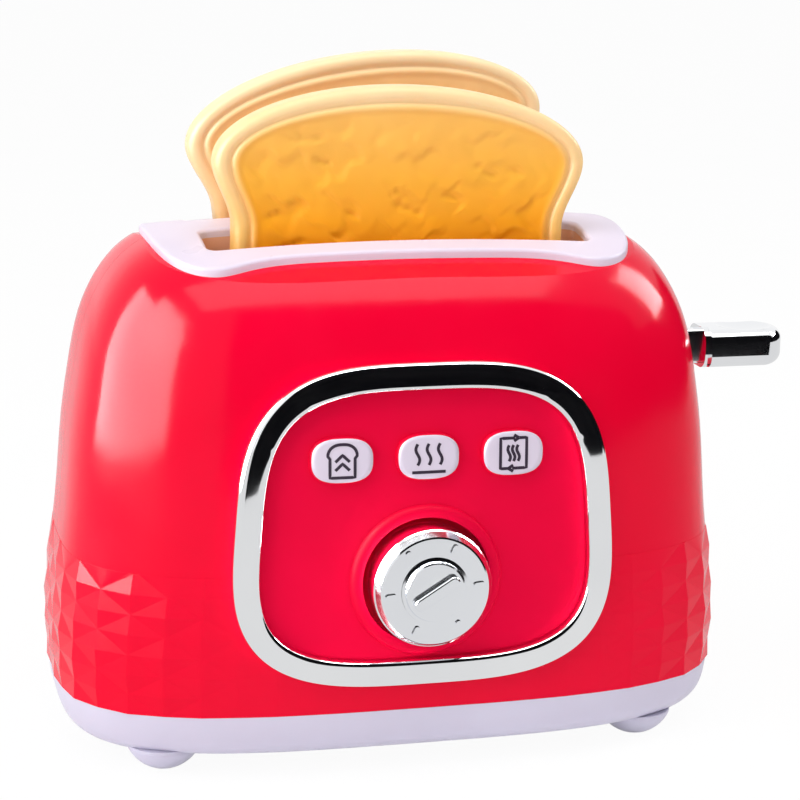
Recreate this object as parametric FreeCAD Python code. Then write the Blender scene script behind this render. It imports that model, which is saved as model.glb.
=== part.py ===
import FreeCAD, Part
import math
import os

# Toy toaster: a two-half moulded housing with a faceted lower band, a white top collar and base,
# a lever that lowers a sprung bread carriage, a clicking timer knob and two loose slices of bread.
# Millimetres. +Z up, front faces -Y, lever on +X. The whole is moved at the end so that the origin
# lies under the middle of the overall footprint, on the table.

V = FreeCAD.Vector
os.makedirs("parts", exist_ok=True)

# Housing: half width and half depth at heights above the table
BODY_HALF_WIDTH = 99.6
BODY_HALF_DEPTH = 59.8
PLAN_POWER = 3.3
SHELL_BOTTOM = 20.0
BODY_TOP = 150.2
CROWN_SPARE = 1.5
WIRE_POINTS = 40
WALL = 2.2
SEAM_GAP = 0.16

# Share of the half width and half depth lost at each share of the housing's height
WIDTH_DRAFT = ((0.0, 0.006), (0.12, 0.0), (0.28, 0.020), (0.46, 0.045), (0.60, 0.064),
               (0.70, 0.085), (0.78, 0.107), (0.86, 0.148), (0.92, 0.198), (0.96, 0.253),
               (0.985, 0.315), (1.0, 0.40))
DEPTH_DRAFT = ((0.0, 0.022), (0.12, 0.004), (0.28, 0.0), (0.46, 0.004), (0.60, 0.013),
               (0.70, 0.030), (0.78, 0.062), (0.86, 0.132), (0.92, 0.225), (0.96, 0.330),
               (0.985, 0.450), (1.0, 0.60))

# Crown of the housing under the collar
CROWN_RADIUS_X = 857.0
CROWN_RADIUS_Y = 118.0

# Diamond-faceted band round the foot of the housing
FACET_COLUMNS = 52
FACET_ROWS = 3
FACET_PITCH = 11.7
FACET_PROUD = 0.3
FACET_APEX = 0.45
FACET_FAINT = 0.2
FACET_FAINT_X = 56.0
FACET_STRONG_X = 72.0
FACET_BLEND = 6
FACET_RUN_OUT = 0.07

# White collar round the slots
COLLAR_HALF_LENGTH = 70.5
COLLAR_LOBE_Y = 38.6
COLLAR_LOBE_X = 55.0
COLLAR_WAIST_Y = 34.6
COLLAR_WAIST_X = 37.0
COLLAR_THICK = 2.5
COLLAR_ROUND = 1.1

# Bread slots and wells
SLOT_LENGTH = 112.0
SLOT_WIDTH = 18.0
SLOT_PITCH = 36.0
SLOT_ROUND = 3.0
WELL_WALL = 1.5
WELL_BOTTOM = 38.0
WELL_CLEAR = 0.25
ARM_SLIT_WIDTH = 9.0

# Base
BASE_BOTTOM = 5.6
BASE_WALL = 2.4
BASE_FLOOR = 2.6
LIP_HEIGHT = 5.0
LIP_CLEAR = 0.5
LIP_THICK = 1.6
LIP_ROOT = 3.0
POST_CLEAR = 0.1
SOCKET_RADIUS = 4.4
SOCKET_TOP = 12.0
SEAT_FIT = 0.02
FOOT_X = 71.0
FOOT_Y = 36.3
FOOT_RADIUS = 10.6
FOOT_FLAT = 3.2
SCREW_X = 50.0
SCREW_Y = 39.0
BOSS_RADIUS = 4.2
BOSS_HEIGHT = 18.0
WEB_THICK = 4.0
WEB_HEIGHT = 7.0
SCREW_RADIUS = 1.5
SCREW_HEAD_RADIUS = 2.9
SCREW_HEAD_HEIGHT = 2.0
SCREW_CLEAR = 0.25

# Chrome ring and control panel on the front
RING_CENTRE_Z = 74.0
RING_HALF_HEIGHT = 46.2
RING_HALF_TOP = 51.0
RING_HALF_BOTTOM = 57.4
RING_POWER = 3.4
RING_BAND = 7.6
RING_PROUD = 2.7
RING_SHOULDER = 0.9
FRONT_SHARE = 0.86
RING_SEAT = 3.2
RING_FOOT = 0.2
RING_SEAT_GAP = 0.5
RING_LIP_INNER = -0.15
RING_LIP_OUTER = 0.4
PANEL_RECESS = 1.0
PANEL_THICK = 2.4
PANEL_CLEAR = 0.15

# Raised pads
PAD_SPACING = 24.4
PAD_Z = 93.7
PAD_LENGTH = 17.8
PAD_HEIGHT = 13.0
PAD_POWER = 2.7
PAD_PROUD = 1.6
PAD_ROUND = 0.6

# Timer knob and its recess
KNOB_Z = 58.0
KNOB_RADIUS = 16.9
KNOB_RIM = 15.4
KNOB_THICK = 12.0
KNOB_FACE_Y = -69.6
KNOB_BEVEL = 2.2
KNOB_SKIN = 2.6
CAP_RADIUS = 9.6
CAP_STEP = 1.4
CAP_SINK = 1.2
CAP_CLEAR = 0.05
POINTER_LENGTH = 14.5
POINTER_WIDTH = 3.6
POINTER_PROUD = 2.0
POINTER_TILT = 32.0
MARKS = 6
MARK_LENGTH = 3.2
MARK_WIDTH = 1.7
MARK_RADIUS = 12.6
MARK_PROUD = 0.7
MARK_PHASE = -5.0
RECESS_RADIUS = 18.4
RECESS_DEPTH = 3.6
RIM_RADIUS = 19.6
RIM_SECTION = 2.4
RIM_SINK = 0.9
SHAFT_RADIUS = 2.5
SHAFT_FIT = 0.06

# Timer behind the panel
TIMER_WIDTH = 40.0
TIMER_HEIGHT = 34.0
TIMER_WALL = 1.8
TIMER_DEPTH = 21.0
STAR_TEETH = 16
STAR_RADIUS = 11.0
STAR_TOOTH = 1.5
STAR_THICK = 4.0
TIMER_BOSS = 3.4
EAR_SET_BACK = 3.0
EAR_THICK = 2.0
EAR_SCREW = 1.3
COVER_THICK = 1.8
PAWL_THICK = 0.8
PAWL_GAP = 0.3

# Bread carriage, its rods and spring
TRAVEL = 44.0
LEDGE_TOP = 87.2
REAR_LEDGE_STEP = 2.9
LEDGE_THICK = 3.0
LEDGE_WIDTH = 7.0
LEDGE_REACH = 112.0
LEDGE_RIB = 3.0
UPRIGHT_THICK = 3.4
UPRIGHT_WIDTH = 16.0
BRACKET_THICK = 3.0
BRACKET_DROP = 14.0
BRACKET_RIB = 1.2
BLOCK_X = 62.0
BLOCK_LENGTH = 18.0
BLOCK_WIDTH = 44.0
BLOCK_HEIGHT = 12.0
ROD_X = 71.0
ROD_RADIUS = 2.0
ROD_FIT = 0.08
STEADY_Y = 15.0
ROD_TOP = 122.0
SPRING_COIL = 4.4
SPRING_WIRE = 0.5
SPRING_TURNS = 8
BUSH_HEIGHT = 7.0
BUSH_RADIUS = 3.4

# Lever through the end wall
LEVER_Z = 109.6
LEVER_SLOT_WIDTH = 6.4
LEVER_SLOT_END = 4.0
ARM_THICK = 4.6
ARM_HEIGHT = 10.6
ARM_SCREW = 1.3
LEVER_STANDOFF = 9.0
FLANGE_THICK = 2.0
FLANGE_WIDTH = 15.0
FLANGE_HEIGHT = 12.6
LEVER_LENGTH = 24.6
LEVER_WIDTH = 18.4
LEVER_HEIGHT = 11.6
LEVER_EDGE = 3.8
LEVER_NOSE = 0.62
DISH_RADIUS = 24.0
DISH_DEPTH = 1.5

# Catch that holds the carriage down
CATCH_PIN_Y = 16.5
CATCH_PIN_Z = 24.0
CATCH_PIN_RADIUS = 1.5
CATCH_X = 84.0
CATCH_THICK = 4.0
CATCH_CLEAR = 1.2
CATCH_HOOK = 3.6
CATCH_BITE = 3.0
CATCH_GAP = 0.6
CATCH_SIDE = 0.2
CATCH_POST = 3.0
TONGUE_Y0 = 4.0
TONGUE_Y1 = 12.0
TONGUE_THICK = 2.6

# Bread slices
SLICE_HALF_WIDTH = 48.3
SLICE_LOBE = 54.0
SLICE_HEIGHT = 104.0
SLICE_LOBE_Z = 82.3
SLICE_NECK_Z = 64.0
SLICE_THICK = 10.4
SLICE_FOOT_ROUND = 9.0
SLICE_EDGE = 2.2
SLICE_RIM = 4.2
SLICE_GROOVE = 1.6
SLICE_GROOVE_DEPTH = 1.1
SLICE_FACE_DEPTH = 0.5
SLICE_SEAT = 0.3
FRONT_TILT = 1.0
FRONT_SHIFT = -0.6
REAR_TILT = -6.4
REAR_SHIFT = 7.75


def lost(table, share):
    """Interpolated loss of width or depth at a share of the housing's height."""
    share = min(max(share, 0.0), 1.0)
    for (s0, v0), (s1, v1) in zip(table, table[1:]):
        if share <= s1:
            return v0 + (v1 - v0) * (share - s0) / (s1 - s0)
    return table[-1][1]


def half_width(z):
    return BODY_HALF_WIDTH * (1 - lost(WIDTH_DRAFT, (z - SHELL_BOTTOM) / (BODY_TOP - SHELL_BOTTOM)))


def half_depth(z):
    return BODY_HALF_DEPTH * (1 - lost(DEPTH_DRAFT, (z - SHELL_BOTTOM) / (BODY_TOP - SHELL_BOTTOM)))


def oval_point(a, b, power, angle):
    """Point of a squared oval: |x/a|^power + |y/b|^power = 1."""
    c, s = math.cos(angle), math.sin(angle)
    x = a * math.copysign(abs(c) ** (2 / power), c)
    y = b * math.copysign(abs(s) ** (2 / power), s)
    return x, y


def even_angles(count):
    """Plan angles that divide the housing's girth into equal steps, from the middle of the front."""
    fine = 4000
    angles = [-math.pi / 2 + 2 * math.pi * i / fine for i in range(fine + 1)]
    points = [oval_point(BODY_HALF_WIDTH, BODY_HALF_DEPTH, PLAN_POWER, a) for a in angles]
    length = [0.0]
    for p, q in zip(points, points[1:]):
        length.append(length[-1] + math.dist(p, q))
    result = []
    at = 0
    for k in range(count):
        while length[at] < length[-1] * k / count:
            at += 1
        result.append(angles[at])
    return result


def oval_wire(a, b, z):
    points = [V(*oval_point(a, b, PLAN_POWER, angle), z) for angle in WIRE_ANGLES]
    curve = Part.BSplineCurve()
    curve.interpolate(Points=points, PeriodicFlag=True)
    return Part.Wire([curve.toShape()])


def box(x0, x1, y0, y1, z0, z1):
    return Part.makeBox(x1 - x0, y1 - y0, z1 - z0, V(x0, y0, z0))


def rod(radius, length, base, direction):
    return Part.makeCylinder(radius, length, base, direction)


def prism(outline, vector):
    return Part.Face(outline).extrude(vector)


def largest(shape):
    return max(shape.Solids, key=lambda s: s.Volume)


def only_solid(shape):
    """The largest solid of a result, with its split faces joined."""
    return largest(shape.removeSplitter())


def rounded_box(x0, x1, y0, y1, z0, z1, radius):
    """Box whose upright edges are rounded."""
    solid = box(x0, x1, y0, y1, z0, z1)
    upright = [e for e in solid.Edges if abs(e.Vertexes[0].Z - e.Vertexes[1].Z) > (z1 - z0) / 2]
    return solid.makeFillet(radius, upright)


# Housing

WIRE_ANGLES = even_angles(WIRE_POINTS)


def body_loft(inset, top_share=1.0):
    """Solid housing, its wall moved in by inset, from plan sections at the drafted heights. The
    last section stands a little above the crown that trims it."""
    wires = []
    for share, _ in WIDTH_DRAFT:
        if share <= top_share:
            z = SHELL_BOTTOM + share * (BODY_TOP - SHELL_BOTTOM)
            z -= inset * max(0.0, (share - 0.7) / 0.3)
            a, b = half_width(z) - inset, half_depth(z) - inset
            wires.append(oval_wire(a, b, z + CROWN_SPARE if share == 1.0 else z))
    return Part.makeLoft(wires, True, False, False, 3)


def above_crown(top):
    """Everything above a gently domed roof whose highest point is at top."""
    reach = 90.0
    rise = 60.0
    drop = CROWN_RADIUS_Y - math.sqrt(CROWN_RADIUS_Y ** 2 - reach ** 2)
    left, mid, right = V(0, -reach, top - drop), V(0, 0, top), V(0, reach, top - drop)
    roof = Part.Arc(left, mid, right).toShape()
    sides = Part.makePolygon([right, V(0, reach, top + rise), V(0, -reach, top + rise), left])
    face = Part.Face(Part.Wire([roof] + sides.Edges))
    axis_point = V(0, 0, top - CROWN_RADIUS_X)
    swing = 9.0
    face.rotate(axis_point, V(0, 1, 0), -swing)
    return face.revolve(axis_point, V(0, 1, 0), 2 * swing)


def crown_height(top, x, y):
    return top - x * x / (2 * CROWN_RADIUS_X) - CROWN_RADIUS_Y + math.sqrt(CROWN_RADIUS_Y ** 2 - y * y)


def facet_strength(x):
    """Relief of the facets: full round the corners and ends, faint on the flat front and back."""
    share = (abs(x) - FACET_FAINT_X) / (FACET_STRONG_X - FACET_FAINT_X)
    return FACET_FAINT + (1 - FACET_FAINT) * min(max(share, 0.0), 1.0)


def facet_band(outer_wire, inner_wire):
    """Faces of the housing's foot: shallow pyramids on a diamond lattice outside, flat strips
    inside. Small flats above the top diamonds run out into the smooth wall, whose lower outlines
    are given. Returns the faces and the closed outlines, outside and inside, that carry the wall."""
    angles = even_angles(FACET_COLUMNS)
    angles.append(angles[0] + 2 * math.pi)
    top_level = FACET_ROWS + 0.5

    def point(column, level, proud, strong=True):
        column -= math.floor(column / FACET_COLUMNS) * FACET_COLUMNS
        low = int(column)
        angle = angles[low] + (angles[low + 1] - angles[low]) * (column - low)
        z = SHELL_BOTTOM + level * FACET_PITCH
        x, y = oval_point(half_width(z), half_depth(z), PLAN_POWER, angle)
        grow = proud * facet_strength(x) if strong else proud
        x, y = oval_point(half_width(z) + grow, half_depth(z) + grow, PLAN_POWER, angle)
        return V(x, y, z)

    def rim_point(wire, column, grow):
        """Point beside the wall's lower outline, moved outward by grow."""
        start = point(column, top_level, 0)
        near = wire.distToShape(Part.Vertex(start))[1][0][0]
        outward = point(column, top_level, 5, False) - start
        return near + outward.normalize() * grow

    faces = []

    def flat(*corners):
        faces.append(Part.Face(Part.makePolygon(list(corners) + [corners[0]])))

    steps = [i / FACET_BLEND for i in range(-FACET_BLEND, FACET_BLEND + 1)]
    tips = []
    for column in range(0, FACET_COLUMNS, 2):
        grow = FACET_PROUD * facet_strength(point(column, top_level, 0).x)
        tips.append(rim_point(outer_wire, column, grow))
    tips.append(tips[0])
    outer_rim = []
    inner_rim = []
    for column in range(FACET_COLUMNS):
        odd = column % 2
        for row in range(FACET_ROWS if odd else FACET_ROWS + 1):
            low = row if odd else row - 0.5
            top = point(column, low + 1, FACET_PROUD)
            if low + 1 == top_level:
                top = tips[column // 2]
            left = point(column - 1, low + 0.5, FACET_PROUD)
            right = point(column + 1, low + 0.5, FACET_PROUD)
            apex = point(column, max(low + 0.5, 0.0), FACET_PROUD + FACET_APEX)
            flat(right, top, apex)
            flat(top, left, apex)
            if low >= 0:
                heel = point(column, low, FACET_PROUD)
                flat(left, heel, apex)
                flat(heel, right, apex)
        if odd:
            crest = point(column, FACET_ROWS, FACET_PROUD)
            edge = [rim_point(outer_wire, column + t, FACET_RUN_OUT) for t in steps]
            edge[0] = tips[column // 2]
            edge[-1] = tips[column // 2 + 1]
            high = [rim_point(inner_wire, column + t, -FACET_RUN_OUT) for t in steps[::2]]
            low = [point(column + t, 0, -WALL - FACET_RUN_OUT, False) for t in steps[::2]]
            for a, b in zip(edge, edge[1:]):
                flat(crest, b, a)
            outer_rim += edge[:-1]
            inner_rim += high[:-1]
            toes = [point(column - 1, 0, FACET_PROUD + FACET_APEX), point(column, 0, FACET_PROUD),
                    point(column + 1, 0, FACET_PROUD + FACET_APEX)]
            flat(*toes, *reversed(low))
            for i in range(len(low) - 1):
                flat(high[i], high[i + 1], low[i + 1])
                flat(high[i], low[i + 1], low[i])
    return faces, outer_rim, inner_rim


def ring_point(grow, angle, y):
    """Point of the front ring's outline, which is wider at the bottom than at the top."""
    u, w = oval_point(1, 1, RING_POWER, angle)
    mean = (RING_HALF_TOP + RING_HALF_BOTTOM) / 2
    taper = (RING_HALF_TOP - RING_HALF_BOTTOM) / 2
    return V((mean + taper * w + grow) * u, y, RING_CENTRE_Z + (RING_HALF_HEIGHT + grow) * w)


def ring_prism(grow):
    count = 48
    points = [ring_point(grow, 2 * math.pi * i / count, -BODY_HALF_DEPTH - 12) for i in range(count)]
    curve = Part.BSplineCurve()
    curve.interpolate(Points=points, PeriodicFlag=True)
    return prism(Part.Wire([curve.toShape()]), V(0, BODY_HALF_DEPTH, 0))


def collar_prism(grow=0.0):
    """Upright prism with the collar's outline: four corner lobes and a narrower waist."""
    waist, lobe = COLLAR_WAIST_Y + grow, COLLAR_LOBE_Y + grow
    end = COLLAR_HALF_LENGTH + grow
    quarter = [
        (end, 0.0),
        (end - 0.6, 14.0),
        (end - 3.2, 27.0),
        (end - 8.0, 35.0),
        (COLLAR_LOBE_X, lobe),
        ((COLLAR_LOBE_X + COLLAR_WAIST_X) / 2, (waist + lobe) / 2),
        (COLLAR_WAIST_X, waist + 0.3),
        (COLLAR_WAIST_X * 0.6, waist),
    ]
    upper = quarter + [(0.0, waist)] + [(-x, y) for x, y in reversed(quarter[1:])]
    points = upper + [(-x, -y) for x, y in upper]
    curve = Part.BSplineCurve()
    curve.interpolate(Points=[V(x, y, BODY_TOP - 40) for x, y in points], PeriodicFlag=True)
    return prism(Part.Wire([curve.toShape()]), V(0, 0, 60))


def slot_prism(side, grow, bottom, top):
    y = side * SLOT_PITCH / 2
    return rounded_box(-SLOT_LENGTH / 2 - grow, SLOT_LENGTH / 2 + grow,
                       y - SLOT_WIDTH / 2 - grow, y + SLOT_WIDTH / 2 + grow,
                       bottom, top, SLOT_ROUND + grow)


def lever_slot():
    """Upright slot in the end wall that the lever's arm runs in."""
    half = LEVER_SLOT_WIDTH / 2
    low = LEVER_Z - TRAVEL - ARM_HEIGHT / 2 - LEVER_SLOT_END
    high = LEVER_Z + ARM_HEIGHT / 2 + 1.0
    inner = BODY_HALF_WIDTH - 22
    return rounded_slot(inner, BODY_HALF_WIDTH + 12, half, low, high)


def rounded_slot(x0, x1, half, low, high):
    bar = box(x0, x1, -half, half, low + half, high - half)
    bar = bar.fuse(rod(half, x1 - x0, V(x0, 0, low + half), V(1, 0, 0)))
    return bar.fuse(rod(half, x1 - x0, V(x0, 0, high - half), V(1, 0, 0))).removeSplitter()


def screw_places():
    return [(sx * SCREW_X, sy * SCREW_Y) for sx in (-1, 1) for sy in (-1, 1)]


def smooth_body():
    """The housing's outside without its facets, filled, with a domed top."""
    return body_loft(0).cut(above_crown(BODY_TOP))


def closed_outline(points):
    return Part.makePolygon(points + [points[0]])


def hollow_housing():
    """Hollow housing: the smooth wall above, standing on the faceted foot, in one skin."""
    level = SHELL_BOTTOM + (FACET_ROWS + 0.5) * FACET_PITCH
    reach = BODY_HALF_WIDTH * 2
    above = box(-reach, reach, -reach, reach, level, BODY_TOP * 2)
    upper = smooth_body().common(above).cut(body_loft(WALL).cut(above_crown(BODY_TOP - WALL)))
    ledge = min(upper.Faces, key=lambda f: f.BoundBox.ZMax)
    inner_wire, outer_wire = sorted(ledge.Wires, key=lambda w: w.BoundBox.XLength)
    faces, outer_rim, inner_rim = facet_band(outer_wire, inner_wire)
    maker = "Part::FaceMakerBullseye"
    faces.append(Part.makeFace([closed_outline(outer_rim), outer_wire], maker))
    faces.append(Part.makeFace([closed_outline(inner_rim), inner_wire], maker))
    faces += [f for f in upper.Faces if not f.isSame(ledge)]
    skin = Part.makeShell(faces)
    skin.sewShape()
    solid = Part.makeSolid(skin)
    if solid.Volume < 0:
        solid.reverse()
    return solid


def housing():
    """The hollow housing with its openings and screw bosses, still in one piece."""
    shell = hollow_housing()
    core = body_loft(WALL / 2)
    foot_z = SHELL_BOTTOM + LIP_HEIGHT + 1
    for x, y in screw_places():
        boss = rod(BOSS_RADIUS, BOSS_HEIGHT, V(x, y, foot_z), V(0, 0, 1))
        web_y = sorted((y, math.copysign(BODY_HALF_DEPTH, y)))
        boss = boss.fuse(box(x - WEB_THICK / 2, x + WEB_THICK / 2, *web_y, foot_z, foot_z + WEB_HEIGHT))
        boss = boss.common(core)
        boss = boss.cut(rod(SCREW_RADIUS - 0.2, BOSS_HEIGHT - 3, V(x, y, SHELL_BOTTOM), V(0, 0, 1)))
        shell = shell.fuse(boss)
    for side in (-1, 1):
        shell = shell.cut(slot_prism(side, WELL_WALL + WELL_CLEAR, BODY_TOP - 30, BODY_TOP + 5))
    window = ring_prism(RING_SEAT - RING_BAND)
    return shell.cut([window, lever_slot()])


def shell_half(whole, side):
    """Front (-1) or rear (1) half of the housing, cut back from the seam plane."""
    reach = BODY_HALF_WIDTH * 2
    edge = side * SEAM_GAP / 2
    far = -side * reach
    return largest(whole.cut(box(-reach, reach, min(edge, far), max(edge, far), -reach, reach)))


def top_collar(outside):
    collar = collar_prism().cut(above_crown(BODY_TOP + COLLAR_THICK)).cut(outside)
    collar = only_solid(collar)
    for side in (-1, 1):
        collar = collar.cut(slot_prism(side, 0, BODY_TOP - 40, BODY_TOP + 30))
    rim = [e for e in collar.Edges if is_collar_rim(e)]
    return only_solid(collar.makeFillet(COLLAR_ROUND, rim))


def is_collar_rim(edge):
    """True for edges of the collar's domed top, round the outside and round the slots."""
    first, last = edge.ParameterRange
    for i in range(5):
        p = edge.valueAt(first + (last - first) * (i + 0.5) / 5)
        if abs(p.z - crown_height(BODY_TOP + COLLAR_THICK, p.x, p.y)) > 0.35:
            return False
    return True


def well(side):
    """Thin-walled bread well that hangs under the collar, open below, slit for the bread ledge."""
    y = side * SLOT_PITCH / 2
    tube = slot_prism(side, WELL_WALL, WELL_BOTTOM, BODY_TOP + 5)
    tube = tube.cut(slot_prism(side, 0, WELL_BOTTOM - 1, BODY_TOP + 6))
    tube = tube.cut(above_crown(BODY_TOP))
    slit_top = ledge_top(side) + 4
    half = ARM_SLIT_WIDTH / 2
    tube = tube.cut(box(SLOT_LENGTH / 2 - 4, SLOT_LENGTH / 2 + 6, y - half, y + half,
                        WELL_BOTTOM - 1, slit_top))
    screw_hole = rod(EAR_SCREW - 0.2, 10, V(SLOT_LENGTH / 2 - 4, y, bracket_screw_z()), V(1, 0, 0))
    return only_solid(tube.cut(screw_hole))


# Base

def base_wires(inset, floor):
    levels = ((0.0, 0.094, 0.20), (0.10, 0.058, 0.135), (0.30, 0.030, 0.080), (0.60, 0.014, 0.042),
              (1.0, 0.006, 0.022))
    height = SHELL_BOTTOM - BASE_BOTTOM
    wires = []
    for share, lost_x, lost_y in levels:
        z = BASE_BOTTOM + share * height + (floor - BASE_BOTTOM) * (1 - share)
        a = BODY_HALF_WIDTH * (1 - lost_x) + FACET_PROUD
        b = BODY_HALF_DEPTH * (1 - lost_y) + FACET_PROUD
        wires.append(oval_wire(a - inset, b - inset, z))
    return wires


def foot(x, y):
    """Moulded dome foot with a small true flat to stand on."""
    top = BASE_BOTTOM + 1.0
    root = base_floor() - 0.7
    profile = [
        Part.makeLine(V(0, 0, 0), V(FOOT_FLAT, 0, 0)),
        Part.Arc(V(FOOT_FLAT, 0, 0), V(FOOT_RADIUS * 0.70, 0, top * 0.34), V(FOOT_RADIUS, 0, top)).toShape(),
        Part.makeLine(V(FOOT_RADIUS, 0, top), V(FOOT_RADIUS, 0, root)),
        Part.makeLine(V(FOOT_RADIUS, 0, root), V(0, 0, root)),
        Part.makeLine(V(0, 0, root), V(0, 0, 0)),
    ]
    solid = Part.Face(Part.Wire(profile)).revolve(V(0, 0, 0), V(0, 0, 1), 360)
    solid.translate(V(x, y, 0))
    return solid


def base_floor():
    return BASE_BOTTOM + BASE_FLOOR


def base():
    """Tray with rounded underside, locating lip, dome feet, screw posts, rod and catch sockets."""
    outer = Part.makeLoft(base_wires(0, BASE_BOTTOM), True, False, False, 5)
    inner = Part.makeLoft(base_wires(BASE_WALL, base_floor()), True, False, False, 5)
    tray = outer.cut(inner)
    z0, z1 = SHELL_BOTTOM - LIP_ROOT, SHELL_BOTTOM + LIP_HEIGHT
    a, b = half_width(SHELL_BOTTOM) - WALL - LIP_CLEAR, half_depth(SHELL_BOTTOM) - WALL - LIP_CLEAR
    t = LIP_THICK
    lip = Part.makeLoft([oval_wire(a, b, z0), oval_wire(a, b, z1)], True)
    lip = lip.cut(Part.makeLoft([oval_wire(a - t, b - t, z0 - 1), oval_wire(a - t, b - t, z1 + 1)], True))
    tray = tray.fuse(lip)
    floor = base_floor()
    parts = [foot(sx * FOOT_X, sy * FOOT_Y) for sx in (-1, 1) for sy in (-1, 1)]
    post_top = SHELL_BOTTOM + LIP_HEIGHT + 1 - POST_CLEAR
    for x, y in screw_places():
        parts.append(rod(BOSS_RADIUS, post_top - floor + 1, V(x, y, floor - 1), V(0, 0, 1)))
    for y in rod_places():
        parts.append(rod(SOCKET_RADIUS, SOCKET_TOP - floor + 1, V(ROD_X, y, floor - 1), V(0, 0, 1)))
    for x in catch_post_places():
        parts.append(box(x, x + CATCH_POST, CATCH_PIN_Y - 4, CATCH_PIN_Y + 4, floor - 1, CATCH_PIN_Z + 4))
    tray = tray.fuse(parts)
    holes = []
    for x, y in screw_places():
        holes.append(rod(SCREW_RADIUS + SCREW_CLEAR, post_top, V(x, y, 0), V(0, 0, 1)))
        holes.append(rod(SCREW_HEAD_RADIUS + SCREW_CLEAR, screw_seat(), V(x, y, 0), V(0, 0, 1)))
    for y in rod_places():
        holes.append(rod(ROD_RADIUS + SEAT_FIT, SOCKET_TOP, V(ROD_X, y, floor - 0.6), V(0, 0, 1)))
    holes.append(rod(CATCH_PIN_RADIUS + SEAT_FIT, 30, V(CATCH_X - 15, CATCH_PIN_Y, CATCH_PIN_Z), V(1, 0, 0)))
    return only_solid(tray.cut(holes))


def screw_seat():
    """Height of the shoulder in the screw posts that the screw heads bear on."""
    return SHELL_BOTTOM - 4.0


def rod_places():
    return (0.0, -STEADY_Y)


def catch_post_places():
    half = CATCH_THICK / 2 + CATCH_SIDE
    return (CATCH_X - half - CATCH_POST, CATCH_X + half)


def screw(length, radius, head_radius, head_height, place, direction):
    """Pan-head screw with a cross recess: place is under the head, direction runs into the hole."""
    shank = rod(radius, length, V(0, 0, 0), V(0, 0, 1))
    head = rod(head_radius, head_height, V(0, 0, -head_height), V(0, 0, 1))
    rim = [e for e in head.Edges if e.BoundBox.ZMax < -head_height + 0.01 and e.Closed]
    head = head.makeFillet(head_height * 0.4, rim)
    slot = head_radius * 0.6
    cross = box(-slot, slot, -0.25, 0.25, -head_height - 1, -head_height * 0.5)
    cross = cross.fuse(box(-0.25, 0.25, -slot, slot, -head_height - 1, -head_height * 0.5))
    solid = shank.fuse(head).cut(cross)
    solid.Placement = FreeCAD.Placement(place, FreeCAD.Rotation(V(0, 0, 1), direction))
    return solid


def case_screws():
    length = SHELL_BOTTOM + LIP_HEIGHT + 1 + BOSS_HEIGHT * 0.5 - screw_seat()
    return Part.makeCompound([screw(length, SCREW_RADIUS - 0.25, SCREW_HEAD_RADIUS, SCREW_HEAD_HEIGHT,
                                    V(x, y, screw_seat()), V(0, 0, 1)) for x, y in screw_places()])


# Front: ring, panel and knob

def front_skin(proud):
    """Filled front of the housing grown by proud."""
    reach = BODY_HALF_WIDTH
    front = box(-reach, reach, -reach, -half_depth(KNOB_Z) / 2, 0, BODY_TOP)
    return body_loft(-proud, FRONT_SHARE).common(front)


def front_y(x, z):
    """Where the housing's smooth front lies at x and z."""
    return -half_depth(z) * (1 - abs(x / half_width(z)) ** PLAN_POWER) ** (1 / PLAN_POWER)


def bezel_ring():
    """Convex bright ring: a rounded band on the housing whose inner lip reaches in to the panel."""
    count = 40
    path = []
    for i in range(count):
        p = ring_point(-RING_BAND / 2, 2 * math.pi * i / count, 0)
        path.append(V(p.x, front_y(p.x, p.z), p.z))
    spine = Part.BSplineCurve()
    spine.interpolate(Points=path, PeriodicFlag=True)
    x, y, z = path[0]
    half = RING_BAND / 2
    lip = RING_SEAT - half - PANEL_CLEAR

    def at(out, proud):
        return V(x + out, y - proud, z)

    outline = [
        Part.makeLine(at(half, RING_FOOT), at(half, RING_SHOULDER)),
        Part.Arc(at(half, RING_SHOULDER), at(0, RING_PROUD), at(-half, RING_SHOULDER)).toShape(),
        Part.makeLine(at(-half, RING_SHOULDER), at(-half, -RING_LIP_INNER)),
        Part.makeLine(at(-half, -RING_LIP_INNER), at(lip, -RING_LIP_OUTER)),
        Part.makeLine(at(lip, -RING_LIP_OUTER), at(lip, RING_SEAT_GAP)),
        Part.makeLine(at(lip, RING_SEAT_GAP), at(half, RING_FOOT)),
    ]
    sweep = Part.BRepOffsetAPI.MakePipeShell(Part.Wire([spine.toShape()]))
    sweep.setBiNormalMode(V(0, 1, 0))
    sweep.add(Part.Wire(outline))
    sweep.build()
    sweep.makeSolid()
    return sweep.shape()


def panel_front_y(z):
    return -(half_depth(z) - PANEL_RECESS)


def recess_floor_y():
    return panel_front_y(KNOB_Z) + RECESS_DEPTH


def timer_front_y():
    return recess_floor_y() + PANEL_THICK


def pad_prism(x, grow=0.0):
    """Prism through the front with a pad's outline, a squared oval."""
    points = []
    count = 24
    for i in range(count):
        dx, dz = oval_point(PAD_LENGTH / 2 + grow, PAD_HEIGHT / 2 + grow, PAD_POWER, 2 * math.pi * i / count)
        points.append(V(x + dx, -BODY_HALF_DEPTH - 10, PAD_Z + dz))
    curve = Part.BSplineCurve()
    curve.interpolate(Points=points, PeriodicFlag=True)
    return prism(Part.Wire([curve.toShape()]), V(0, 14, 0))


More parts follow.
